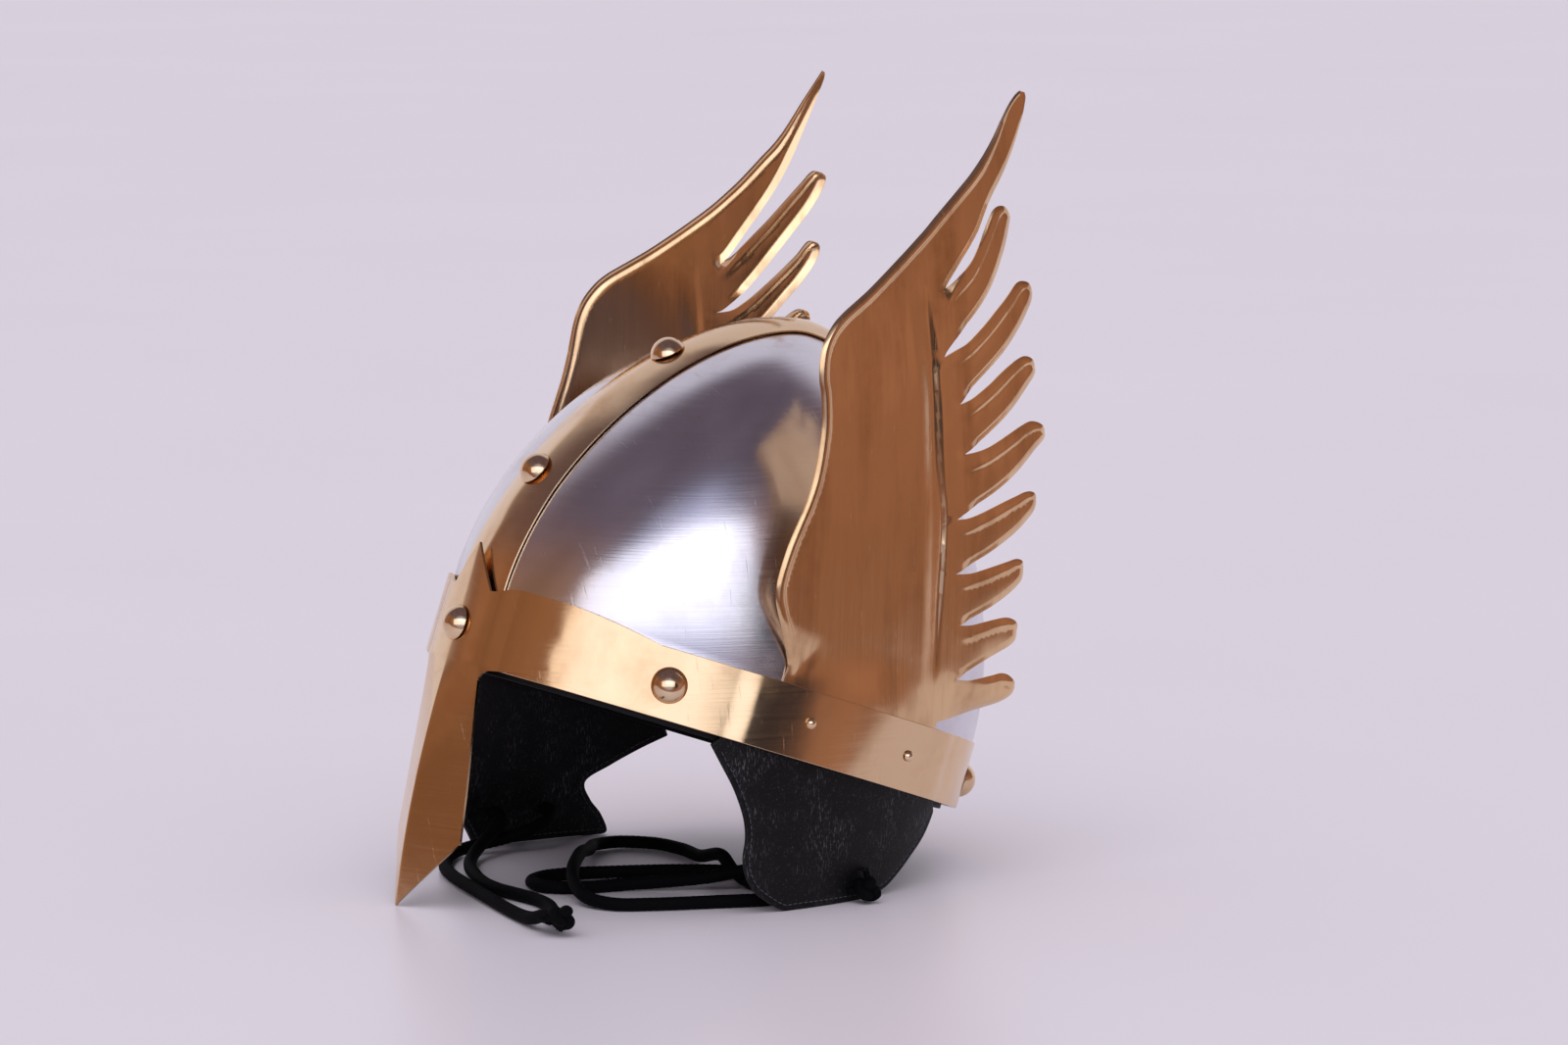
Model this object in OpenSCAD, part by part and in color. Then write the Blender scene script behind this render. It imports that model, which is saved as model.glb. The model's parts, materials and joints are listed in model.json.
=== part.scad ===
/* [Skull] */
// Front of the skull from its middle, along the rim
skull_front = 114.5; // [110:0.5:120]
// Back of the skull from its middle, along the rim
skull_back = 116.5; // [112:0.5:122]
// Full width of the skull at the rim
skull_wid = 186.8; // [178:0.2:196]
// Height of the skull above its rim
skull_h = 171.5; // [162:0.5:180]
// Thickness of the steel sheet
skull_t = 0.9; // [0.7:0.1:1.2]

/* [Bands] */
// Height of the brow band
band_h = 28; // [24:0.5:32]
// Thickness of the brow band
band_t = 0.8; // [0.6:0.1:1]
// Width of the crest band at the brow
crest_w_front = 38; // [32:0.5:42]
// Width of the crest band over the top
crest_w = 33; // [28:0.5:38]
// Thickness of the crest band
crest_t = 0.8; // [0.6:0.1:1]
// Height of the keel pressed along the crest band
crest_keel = 2.4; // [1:0.1:3]
// How far the ends of the crest band stop above the rim
crest_end = 2; // [1:0.5:6]

/* [Front plate] */
// Thickness of the front plate
plate_t = 1.2; // [1:0.1:1.4]
// How far the nose guard reaches below the rim
nose_drop = 101; // [90:0.5:110]
// Half width of the nose guard at its lower corners
nose_half = 26; // [22:0.5:30]
// Half width of the nose guard at its neck
nose_neck = 20.5; // [17:0.5:22]
// Rise of the lower corners above the point
nose_corner = 31; // [24:0.5:38]
// Radius of the inner corner between nose guard and brow arm
nose_fillet = 9; // [6:0.5:11]
// How far the point of the nose guard is set back from the fold
nose_sweep = 9.6; // [6:0.2:12]
// Slope of the two faces of the nose guard, rise over run
nose_slope = 0.43; // [0.3:0.01:0.5]
// Height of the spike above the rim
spike_h = 48; // [42:0.5:54]
// Height of the notch beside the spike
notch_h = 30; // [29:0.5:33]
// Height of the top of the brow arms near the front
arm_top = 33.5; // [31:0.5:36]
// Height of the underside of the brow arms
arm_low = 2; // [0.5:0.5:4]
// Half height of the rounded end of a brow arm
arm_end_half = 12.8; // [11:0.2:13.5]
// Distance from the side rivet to the end of the arm
arm_end_len = 12; // [10:0.5:14]

/* [Wings] */
// Thickness of the wing sheet
wing_t = 0.7; // [0.5:0.1:0.9]
// Inward lean of the wing, run over rise
wing_lean = 0.06; // [0.03:0.01:0.09]
// Toe-in of the wing, run over length
wing_toe = 0.09; // [0.06:0.01:0.12]
// Outward bow of the wing at half height
wing_bow = 8; // [4:0.5:10]
// Half width across the wings where they leave the brow band
wing_stand = 93.5; // [91:0.5:96]
// Radius of the feather tips
feather_tip = 4.6; // [3.8:0.1:5]
// Depth of the wing tab behind the brow band
tab_depth = 24; // [21:0.5:26]

/* [Rivets] */
// Diameter of the large domed heads
rivet_d = 14.6; // [12:0.2:16]
// Height of the large domed heads
rivet_h = 5.6; // [4:0.2:7]
// Diameter of the small heads on the wing tabs
stud_d = 4.6; // [4:0.1:6]
// Height of the small heads
stud_h = 1.9; // [1.4:0.1:2.4]
// Diameter of the large rivet shanks
shank_d = 4; // [3:0.1:5]
// Diameter of the small rivet shanks
pin_d = 2.4; // [2:0.1:3]
// Thickness of the peened ends and of the washers under them
peen_t = 1; // [0.8:0.1:1.2]
// Diameter of the washers inside the skull
washer_d = 9; // [8:0.5:10]

/* [Leather] */
// Thickness of the ear flaps
flap_t = 2; // [1.6:0.1:2.4]
// Tilt of the left flap, outward positive
left_splay = -2.5; // [-4:0.5:4]
// Tilt of the right flap, outward positive
right_splay = 7; // [3:0.5:9]
// Thickness of the sweatband
sweat_t = 1.8; // [1.4:0.1:2.2]
// Height of the sweatband
sweat_h = 32; // [28:0.5:36]
// How far the leather shows below the rim
leather_show = 2; // [1:0.1:2.5]
// Thickness of the crown leaves
leaf_t = 1.4; // [1:0.1:1.8]
// Width of a crown leaf at its foot
leaf_w = 52; // [40:1:60]
// Width of the flat crown lace
lace_w = 4; // [3:0.5:6]
// Thickness of the crown lace
lace_t = 1.4; // [1:0.1:1.8]

/* [Cords] */
// Diameter of the chin cords
cord_d = 5.4; // [5:0.1:5.6]
// Diameter of the knots
knot_d = 13; // [12.5:0.1:14]

/* [Standing] */
// Pitch of the helmet as it stands on its flaps and nose guard
stand_pitch = 19.25; // [17:0.25:21]

/* [Hidden] */

brass = [0.80, 0.62, 0.32];
steel = [0.62, 0.62, 0.68];
leather = [0.08, 0.08, 0.09];
cord_black = [0.05, 0.05, 0.06];

// Clearance between sheets that lie on each other, and round a shank in its hole
seat = 0.3;
crest_gap = 0.4;
hole_clear = 0.1;
hole_turn = 20;
reach = 60;

// Shape of the skull: exponents of its profile, and how its plan changes from rim to crown
len_power = 1.7;
wid_power = 2.1;
dome_power = 0.6;
rim_lean = 0.055;
crown_lean = -0.17;
rim_full = 0.083;
crown_full = 0.45;
dome_h = skull_h - band_h;
around = 64;
levels = 13;

function rise(z) = max(0, min(0.9999, (z - band_h) / dome_h));
function half_len(z, s) =
    (s < 0 ? skull_front : skull_back) * pow(1 - pow(rise(z), len_power), dome_power);
function half_wid(z) = skull_wid / 2 * pow(1 - pow(rise(z), wid_power), dome_power);
function egg(s, z) = 1 + (rim_lean + (crown_lean - rim_lean) * rise(z)) * s
    + (rim_full + (crown_full - rim_full) * rise(z)) * s * s;
function on_skull(t, z) =
    [half_wid(z) * egg(sin(t), z) * cos(t), half_len(z, sin(t)) * sin(t), z];
function unit(v) = v / norm(v);

// Outward normal of the skull, from two small steps along its surface
step_t = 0.5;
step_z = 0.2;
function normal_at(t, z) = z <= band_h
    ? unit(cross(on_skull(t + step_t, z) - on_skull(t - step_t, z), [0, 0, 1]))
    : unit(cross(on_skull(t + step_t, z) - on_skull(t - step_t, z),
        on_skull(t, z + step_z) - on_skull(t, z - step_z)));
function off_skull(t, z, d) = on_skull(t, z) + d * normal_at(t, z);
function ring_off(z, d) = [for (i = [0 : around - 1]) off_skull(360 * i / around, z, d)];

// Faces of grids: rows follow one another, and the last column may join the first
function cell(a, b, c, d, flip) = flip ? [[a, c, b], [a, d, c]] : [[a, b, c], [a, c, d]];
function grid_faces(rows, cols, wrap, base, flip) = [
    for (r = [0 : rows - 2], c = [0 : cols - (wrap ? 1 : 2)])
        let (n = (c + 1) % cols, p = base + r * cols)
        each cell(p + c, p + n, p + cols + n, p + cols + c, flip)];
function wall_faces(edge_a, edge_b, wrap, flip) = [
    for (i = [0 : len(edge_a) - (wrap ? 1 : 2)])
        let (j = (i + 1) % len(edge_a))
        each cell(edge_a[i], edge_a[j], edge_b[j], edge_b[i], flip)];
function span(from, count) = [for (i = [0 : count - 1]) from + i];
function shifted(list, by) = [for (i = list) i + by];
function flat(rows) = [for (r = rows) each r];
function border(rows, cols) = concat(
    [for (c = [0 : cols - 1]) c],
    [for (r = [1 : rows - 1]) r * cols + cols - 1],
    [for (c = [cols - 2 : -1 : 0]) (rows - 1) * cols + c],
    [for (r = [rows - 2 : -1 : 1]) r * cols]);

// A thin sheet between two open grids of points
module sheet(front, back) {
    rows = len(front);
    cols = len(front[0]);
    size = rows * cols;
    loop = border(rows, cols);
    polyhedron(concat(flat(front), flat(back)), concat(
        grid_faces(rows, cols, false, 0, true),
        grid_faces(rows, cols, false, size, false),
        wall_faces(loop, shifted(loop, size), true, false)));
}

// A collar: two closed grids joined at the bottom and at the top
module collar(outer, inner) {
    rows = len(outer);
    cols = len(outer[0]);
    size = rows * cols;
    low = span(0, cols);
    high = span((rows - 1) * cols, cols);
    polyhedron(concat(flat(outer), flat(inner)), concat(
        grid_faces(rows, cols, true, 0, true),
        grid_faces(rows, cols, true, size, false),
        wall_faces(low, shifted(low, size), true, false),
        wall_faces(high, shifted(high, size), true, true)));
}

// A bowl: two closed grids that each end in a point at the crown
module bowl(outer, inner, outer_top, inner_top) {
    rows = len(outer);
    cols = len(outer[0]);
    size = rows * cols;
    low = span(0, cols);
    high = (rows - 1) * cols;
    polyhedron(concat(flat(outer), flat(inner), [outer_top, inner_top]), concat(
        grid_faces(rows, cols, true, 0, true),
        grid_faces(rows, cols, true, size, false),
        wall_faces(low, shifted(low, size), true, false),
        [for (c = [0 : cols - 1]) [high + c, 2 * size, high + (c + 1) % cols]],
        [for (c = [0 : cols - 1])
            [size + high + c, size + high + (c + 1) % cols, 2 * size + 1]]));
}

// Places on the rim and on the middle line, with +Z pointing out of the helmet
function rim_azimuth(t) = let (n = normal_at(t, 0)) atan2(n[1], n[0]);
module on_rim(t, z, d) {
    translate(off_skull(t, z, d)) rotate([0, 0, rim_azimuth(t)]) rotate([0, 90, 0]) children();
}

// The middle line of the dome is followed by its angle at the centre of the brow band's top
function outside(p) =
    let (z = p[2], l = half_len(z, p[1]), s = max(-1, min(1, p[1] / l)), w = half_wid(z) * egg(s, z))
    z >= skull_h || pow(p[0] / w, 2) + pow(p[1] / l, 2) > 1;
function ray(x, a, r) = [x, -r * cos(a), band_h + r * sin(a)];
function surface_r(x, a, lo, hi, turns) = turns == 0 ? (lo + hi) / 2
    : let (m = (lo + hi) / 2)
        outside(ray(x, a, m)) ? surface_r(x, a, lo, m, turns - 1) : surface_r(x, a, m, hi, turns - 1);
search_turns = 16;
function on_line(x, a) = ray(x, a, surface_r(x, a, 0, skull_h + skull_back, search_turns));
function line_normal(a) =
    let (d = on_line(0, min(180, a + 1)) - on_line(0, max(0, a - 1))) unit([0, -d[2], d[1]]);

module on_crest(a, d) {
    n = line_normal(a);
    translate(on_line(0, a) + d * n) rotate([atan2(-n[1], n[2]), 0, 0]) children();
}

// Rivet places
side_t = -33.4;
side_z = 13.6;
rear_t = 68.5;
rear_z = 12;
nasal_z = 14.5;
crest_angles = [27.7, 62.7, 117.3, 152.3];
stud_places = [[-2.6, 15.4], [23.1, 14.2]];

// Skull
function skull_z(i) = i == 0 ? 0 : band_h + dome_h * (1 - pow(1 - (i - 1) / levels, 1 / dome_power));
skull_rows = [for (i = [0 : levels]) skull_z(i)];
module skull_body() {
    bowl([for (z = skull_rows) ring_off(z, 0)], [for (z = skull_rows) ring_off(z, -skull_t)],
        [0, 0, skull_h], [0, 0, skull_h - skull_t]);
}
module skull() {
    color(steel) stood() difference() {
        skull_body();
        big_holes();
        for (side = [0, 1]) mirror([side, 0, 0]) stud_holes();
    }
}

// Brow band: it swells over the ends of the crest band and over the wing tabs
tab_from = -15;
tab_to = 35;
tab_ramp = 5;
cover_ramp = 12;
keel_low = 0.8;
function tab_cover(t) = let (a = t > 180 ? t - 360 : t, b = abs(a) > 90 ? 180 * sign(a) - a : a)
    max(0, min(1, (b - tab_from) / tab_ramp + 1, (tab_to - b) / tab_ramp + 1));
function crest_cover(x, half) = max(0, min(1, (half - abs(x)) / cover_ramp + 1));
function end_half(y) = y < 0 ? crest_w_front / 2 : crest_w / 2;
function band_lift(t) =
    let (p = on_skull(t, 0), half = end_half(p[1]))
    abs(cos(t)) > cos(45) ? (wing_t + seat) * tab_cover(t)
        : (crest_t + crest_gap) * crest_cover(p[0], half) + keel_low * max(0, 1 - abs(p[0]) / half);
function band_ring(z, d) =
    [for (i = [0 : around - 1]) let (t = 360 * i / around) off_skull(t, z, seat + d + band_lift(t))];
band_rows = [0, band_h];
module brow_band() {
    color(brass) stood() difference() {
        collar([for (z = band_rows) band_ring(z, band_t)], [for (z = band_rows) band_ring(z, 0)]);
        rim_holes();
        for (side = [0, 1]) mirror([side, 0, 0]) stud_holes();
    }
}

// Crest band, from the front rim over the crown to the back rim
keel_from = 28;
keel_full = 45;
function keel(z) = keel_low + (crest_keel - keel_low)
    * max(0, min(1, (z - keel_from) / (keel_full - keel_from)));
function crest_half(a) = a < 90
    ? (crest_w_front + (crest_w - crest_w_front) * min(1, a / 25)) / 2 : crest_w / 2;
crest_cols = [-1, -0.55, 0, 0.55, 1];
crest_stops = concat([0.01], [for (a = [5 : 5 : 175]) a], [179.99]);
function crest_point(x, a, d, half) = on_line(x, a)
    + (d + keel(on_line(0, a)[2]) * (1 - abs(x) / half)) * line_normal(a);
function crest_row(a, d) =
    let (half = crest_half(a)) [for (c = crest_cols) crest_point(c * half, a, d, half)];
function low_row(a, d) = [for (p = crest_row(a, d)) [p[0], p[1], crest_end]];
function crest_rows(d) =
    concat([low_row(0.01, d)], [for (a = crest_stops) crest_row(a, d)], [low_row(179.99, d)]);
module crest_band() {
    color(brass) stood() difference() {
        sheet(crest_rows(crest_gap + crest_t), crest_rows(crest_gap));
        crest_holes();
        nasal_hole();
    }
}

// Front plate: a folded nose guard and two brow arms of one sheet
plate_lift = 2 * seat + band_t;
fillet_x = nose_neck + nose_fillet;
side_cols = 6;
arm_cols = 9;
round_cols = 6;
nose_rows = 12;
plate_levels = 5;
front_egg = egg(-0.97, 0);
function t_at(x) = -acos(x / (skull_wid / 2 * front_egg));
arm_t0 = t_at(fillet_x);
arm_metric = norm(on_skull(side_t + step_t, 0) - on_skull(side_t - step_t, 0)) / (2 * step_t);
arm_round = arm_end_len / arm_metric;
function col_t(i) = i <= side_cols ? t_at(fillet_x * i / side_cols)
    : i <= side_cols + arm_cols ? arm_t0 + (side_t - arm_t0) * (i - side_cols) / arm_cols
    : side_t + arm_round * sin(80 * (i - side_cols - arm_cols) / round_cols);
function bump(from, to, x) = max(0, min(1, (x - from) / (to - from)));
notch_i = 3;
function arm_fade(t) = bump(-62, side_t, t);
function round_half(t) = arm_end_half * sqrt(max(0, 1 - pow(bump(side_t, side_t + arm_round, t), 2)));
function top_of(i) = let (t = col_t(i))
    i <= notch_i ? spike_h + (notch_h - spike_h) * i / notch_i
    : i <= side_cols ? notch_h + (arm_top - notch_h) * (i - notch_i) / (side_cols - notch_i)
    : t <= side_t ? arm_top + (side_z + arm_end_half - arm_top) * pow(arm_fade(t), 1.6)
    : side_z + round_half(t);
function low_of(i) = let (t = col_t(i))
    i <= side_cols ? 0
    : t <= side_t ? arm_low * sin(90 * bump(arm_t0, -62, t))
        + (side_z - arm_end_half - arm_low) * arm_fade(t)
    : side_z - round_half(t);
// Height of the fold above the rim outline, and how the nose guard leans back below it
function fold_lift(x, z) = (crest_t + crest_gap) * crest_cover(x, crest_w_front / 2)
    + (keel_low + (crest_keel - keel_low) * bump(keel_from, keel_full, z) * 0.35)
        * max(0, 1 - 2 * abs(x) / crest_w_front);
function nose_turn(z) = sin(90 * bump(0, 65, -z));
function nose_y(x, z, d) =
    let (rim = off_skull(t_at(abs(x)), 0, d)[1] - fold_lift(x, z), mid = -skull_front - d - fold_lift(0, z))
    mid + (rim - mid) * (1 - nose_turn(z)) + nose_slope * abs(x) * nose_turn(z)
        + nose_sweep * pow(bump(0, nose_drop, -z), 2.2);
function plate_point(i, side, z, d) = i <= side_cols
    ? let (x = side * fillet_x * i / side_cols) [x, nose_y(x, z, d), z]
    : let (p = off_skull(col_t(i), 0, d)) [side * p[0], p[1], z];
all_cols = side_cols + arm_cols + round_cols;
function plate_grid(d) = [for (r = [0 : plate_levels - 1]) [for (c = [-all_cols : all_cols])
    let (i = abs(c), f = r / (plate_levels - 1))
    plate_point(i, sign(c), low_of(i) + (top_of(i) - low_of(i)) * f, d)]];
function neck_half(v) = let (z = -nose_drop * (1 - v), d = bump(-nose_fillet, 0, z) * nose_fillet)
    nose_half + (nose_neck - nose_half) * v + nose_fillet - sqrt(nose_fillet * nose_fillet - d * d);
function nose_grid(d) = [for (r = [0 : nose_rows - 1]) [for (c = [-side_cols : side_cols])
    let (v = r / nose_rows, a = c / side_cols, x = a * neck_half(v),
        z = (-nose_drop + nose_corner * abs(a)) * (1 - v))
    [x, nose_y(x, z, d), z]]];
module plate_body() {
    wide = 2 * all_cols + 1;
    slim = 2 * side_cols + 1;
    first = all_cols - side_cols;
    upper = plate_levels * wide;
    size = upper + nose_rows * slim;
    last = upper + (nose_rows - 1) * slim;
    loop = concat(
        span(upper, slim),
        [for (r = [1 : nose_rows - 1]) upper + r * slim + slim - 1],
        span(first + slim - 1, first + 1),
        [for (r = [1 : plate_levels - 1]) r * wide + wide - 1],
        [for (c = [wide - 2 : -1 : 0]) (plate_levels - 1) * wide + c],
        [for (r = [plate_levels - 2 : -1 : 0]) r * wide],
        span(1, first),
        [for (r = [nose_rows - 1 : -1 : 1]) upper + r * slim]);
    front = concat(flat(plate_grid(plate_lift + plate_t)), flat(nose_grid(plate_lift + plate_t)));
    back = concat(flat(plate_grid(plate_lift)), flat(nose_grid(plate_lift)));
    polyhedron(concat(front, back), concat(
        grid_faces(plate_levels, wide, false, 0, true),
        grid_faces(nose_rows, slim, false, upper, true),
        wall_faces(span(last, slim), span(first, slim), false, true),
        grid_faces(plate_levels, wide, false, size, false),
        grid_faces(nose_rows, slim, false, size + upper, false),
        wall_faces(span(size + last, slim), span(size + first, slim), false, false),
        wall_faces(loop, shifted(loop, size), true, false)));
}
module front_plate() {
    color(brass) stood() difference() {
        plate_body();
        nasal_hole();
        side_holes();
    }
}

// Wings: a bowed sheet cut to a feathered outline, with a tab behind the brow band
wing_top = 284;
wing_front = -56;
wing_back = 92;
function tab_x(y) =
    let (s = y / half_len(0, y), t = asin(s), n = normal_at(t, 0))
    on_skull(t, 0)[0] + (seat + wing_t / 2) / n[0];
function blade_x(y, z) = wing_stand - wing_toe * y - wing_lean * (z - band_h)
    + wing_bow * sin(180 * bump(band_h, wing_top + 2, z));
function ease(f) = f * f * (3 - 2 * f);
blend_z = 62;
function wing_x(y, z) = let (f = ease(bump(band_h + 1, blend_z, z)))
    tab_x(y) * (1 - f) + blade_x(y, z) * f;
wing_ys = [for (y = [wing_front : 8 : wing_back + 4]) y];
wing_zs = concat([0, 14, band_h, 33, 38, 44, 50, 56, blend_z], [for (z = [76 : 15 : 288]) z]);
function wing_points(d) = [for (z = wing_zs) [for (y = wing_ys)
    let (n = 1 / cos(atan((wing_x(y + 1, z) - wing_x(y - 1, z)) / 2)))
    [wing_x(y, z) + d * n, y, z]]];

// Leading edge from the band to the top, then each feather: tip, notch under it, bend of both sides
leading_edge = [[-22, 30], [-26, 38], [-31, 45], [-36.5, 53], [-39.5, 60], [-40.5, 70], [-39.5, 85],
    [-39, 100], [-40, 114], [-43.5, 128], [-48, 142], [-51, 155], [-49.5, 163], [-46, 170.5],
    [-41, 177.5], [-35, 184], [-28, 191], [-21, 200], [-15, 210], [-9.5, 219], [-4.5, 228],
    [0, 237], [4.5, 246], [8, 255], [11, 264], [14.5, 274], [18.5, wing_top]];
top_feather = [[20.5, 282], [20.6, 272], [19, 260], [16, 243], [12.5, 229], [8, 215], [2, 198]];
feathers = [
    [[22.5, 232], [9, 171]],
    [[40.5, 205], [23, 156]],
    [[51, 177.5], [32, 137]],
    [[64, 153], [37, 110]],
    [[69.5, 125], [44.5, 89]],
    [[73, 97.5], [54, 70]],
    [[78.5, 74], [60, 49]],
    [[83, 52.5], [59, 31]]];
side_bend = 0.16;
tip_steps = 5;
side_steps = 4;
function along(a, b, f) = a + (b - a) * f;
function turned(v) = [v[1], -v[0]];
// A side of a feather sags below the straight line from its notch to its tip
function side_line(a, b, sag) = [for (i = [1 : side_steps - 1])
    let (f = i / side_steps) along(a, b, f) + turned(b - a) * sag * sin(180 * f)];
function feather(start, tip, finish) =
    let (in_dir = unit(tip - start), out_dir = unit(finish - tip),
        top_edge = tip - turned(in_dir) * feather_tip, low_edge = tip - turned(out_dir) * feather_tip,
        a = atan2(-turned(in_dir)[1], -turned(in_dir)[0]),
        b = atan2(-turned(out_dir)[1], -turned(out_dir)[0]),
        sweep = (a - b + 720) % 360)
    concat(side_line(start, top_edge, side_bend),
        [for (i = [0 : tip_steps]) let (q = a - sweep * i / tip_steps)
            tip + feather_tip * [cos(q), sin(q)]],
        side_line(low_edge, finish, -side_bend * 0.8), [finish]);
wing_outline = concat(
    [[-21, band_h - tab_depth]], leading_edge, top_feather,
    [for (i = [0 : len(feathers) - 1])
        each feather(i == 0 ? top_feather[len(top_feather) - 1] : feathers[i - 1][1],
            feathers[i][0], feathers[i][1])],
    [[58, band_h - tab_depth]]);
module wing_body() {
    difference() {
        intersection() {
            sheet(wing_points(wing_t / 2), wing_points(-wing_t / 2));
            translate([reach, 0, 0]) rotate([90, 0, 90]) linear_extrude(reach) polygon(wing_outline);
        }
        stud_holes();
    }
}
module left_wing() {
    color(brass) stood() wing_body();
}
module right_wing() {
    color(brass) stood() mirror([1, 0, 0]) wing_body();
}

// Holes
module hole(d) {
    rotate([0, 0, hole_turn]) cylinder(d = d + 2 * hole_clear, h = 2 * rivet_d, center = true, $fn = 32);
}
module crest_holes() {
    for (a = crest_angles) on_crest(a, 0) hole(shank_d);
}
module nasal_hole() {
    on_rim(-90, nasal_z, 0) hole(shank_d);
}
module side_holes() {
    for (side = [0, 1]) mirror([side, 0, 0]) on_rim(side_t, side_z, 0) hole(shank_d);
}
module rear_holes() {
    for (side = [0, 1]) mirror([side, 0, 0]) on_rim(rear_t, rear_z, 0) hole(shank_d);
}
module rim_holes() {
    nasal_hole();
    side_holes();
    rear_holes();
}
module big_holes() {
    crest_holes();
    rim_holes();
}
module stud_holes() {
    for (p = stud_places) on_rim(p[0], p[1], 0) hole(pin_d);
}

function head_ball(d, h) = (h * h + d * d / 4) / (2 * h);

// Rivets: a domed head above z = 0, its shank below and a peened end at the given depth
module rivet(head_d, head_h, pin, depth, peen_d) {
    ball = head_ball(head_d, head_h);
    rotate_extrude($fn = 40) intersection() {
        union() {
            intersection() {
                translate([0, head_h - ball]) circle(ball, $fn = 72);
                square([head_d, head_h]);
            }
            translate([0, -depth - peen_t]) square([pin / 2, depth + peen_t + head_h / 2]);
            translate([0, -depth - peen_t]) square([peen_d / 2, peen_t]);
        }
        translate([0, -depth - peen_t]) square([head_d, depth + peen_t + head_h]);
    }
}
washer_gap = 0.45;
inner_face = skull_t + washer_gap;
peen_w = 1.7;
module big_rivet(lift) {
    translate([0, 0, lift])
        rivet(rivet_d, rivet_h, shank_d, lift + inner_face + peen_t + seat, peen_w * shank_d);
}
crest_lift = crest_gap + seat + crest_t + crest_keel;
nasal_lift = plate_lift + plate_t + fold_lift(0, nasal_z) + seat;
side_lift = plate_lift + plate_t + seat;
rear_lift = 2 * seat + band_t;
module nasal_rivet() {
    color(brass) stood() on_rim(-90, nasal_z, 0) big_rivet(nasal_lift);
}
module crest_rivets() {
    color(brass) stood() for (a = crest_angles) on_crest(a, 0) big_rivet(crest_lift);
}
module side_rivets() {
    color(brass) stood() for (side = [0, 1]) mirror([side, 0, 0])
        on_rim(side_t, side_z, 0) big_rivet(side_lift);
}
module rear_rivets() {
    color(brass) stood() for (side = [0, 1]) mirror([side, 0, 0])
        on_rim(rear_t, rear_z, 0) big_rivet(rear_lift);
}
stud_lift = 3 * seat + band_t + wing_t;
stud_depth = stud_lift + skull_t + flap_t + 2 * seat;
module studs() {
    for (p = stud_places) on_rim(p[0], p[1], stud_lift) rivet(stud_d, stud_h, pin_d, stud_depth, peen_w * pin_d);
}
module left_wing_rivets() {
    color(brass) stood() studs();
}
module right_wing_rivets() {
    color(brass) stood() mirror([1, 0, 0]) studs();
}
module washer() {
    translate([0, 0, -inner_face - peen_t]) difference() {
        cylinder(d = washer_d, h = peen_t, $fn = 40);
        cylinder(d = shank_d + 2 * hole_clear, h = 3 * peen_t, center = true, $fn = 32);
    }
}
module rivet_washers() {
    color(steel) stood() {
        for (a = crest_angles) on_crest(a, 0) washer();
        on_rim(-90, nasal_z, 0) washer();
        for (side = [0, 1]) mirror([side, 0, 0]) {
            on_rim(side_t, side_z, 0) washer();
            on_rim(rear_t, rear_z, 0) washer();
        }
    }
}

// Sweatband inside the rim, clear of the peened rivets
sweat_out = -(skull_t + flap_t + peen_t + 4 * seat);
sweat_in = sweat_out - sweat_t;
sweat_rows = [-leather_show, 0.5 * sweat_h - leather_show, sweat_h - leather_show];
module sweatband() {
    color(leather) stood() collar([for (z = sweat_rows) ring_off(min(z, band_h), sweat_out) + lift_rows(z)],
        [for (z = sweat_rows) ring_off(min(z, band_h), sweat_in) + lift_rows(z)]);
}
function lift_rows(z) = [for (i = [0 : around - 1]) [0, 0, z - min(z, band_h)]];

// Crown leaves, sewn inside the sweatband and drawn together by the lace
leaf_out = sweat_in - seat;
leaf_foot = 14;
leaf_tip_rise = 0.955;
leaf_rows = 9;
leaf_cols = 5;
leaf_tip_w = 0.42;
leaf_reach = 0.93;
leaf_waist = 0.7;
leaf_slim = 0.25;
leaf_straight = 1 / (leaf_rows - 1);
function leaf_up(f) = leaf_reach * (f - leaf_straight) / (1 - leaf_straight);
function leaf_z(f) = f == 0 ? leaf_foot
    : band_h + dome_h * leaf_tip_rise * (1 - pow(1 - leaf_up(f), 1 / dome_power));
function leaf_share(f) = f < leaf_waist ? 1 - leaf_slim * f
    : (1 - leaf_slim * leaf_waist) * along(1, leaf_tip_w, (f - leaf_waist) / (1 - leaf_waist));
function leaf_point(t, f, c, d) =
    let (z = leaf_z(f), p = on_skull(t, z),
        width = leaf_w * leaf_share(f),
        q = t + c * width / 2 / max(norm([p[0], p[1]]), 1) * 180 / PI)
    off_skull(q, z, d);
function leaf_grid(t, d) = [for (r = [0 : leaf_rows - 1]) [for (c = [-1 : 2 / (leaf_cols - 1) : 1])
    leaf_point(t, r / (leaf_rows - 1), c, d)]];
module leaf(k) {
    t = 22.5 + 45 * k;
    color(leather) stood() sheet(leaf_grid(t, leaf_out), leaf_grid(t, leaf_out - leaf_t));
}
module liner_leaf_1() { leaf(0); }
module liner_leaf_2() { leaf(1); }
module liner_leaf_3() { leaf(2); }
module liner_leaf_4() { leaf(3); }
module liner_leaf_5() { leaf(4); }
module liner_leaf_6() { leaf(5); }
module liner_leaf_7() { leaf(6); }
module liner_leaf_8() { leaf(7); }
lace_gap = 0.4;
lace_z = leaf_z(1) - lace_w;
lace_out = leaf_out - leaf_t - lace_gap;
lace_rows = [lace_z - lace_w / 2, lace_z + lace_w / 2];
module crown_lace() {
    color(leather) stood() collar([for (z = lace_rows) ring_off(z, lace_out)],
        [for (z = lace_rows) ring_off(z, lace_out - lace_t)]);
}

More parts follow.
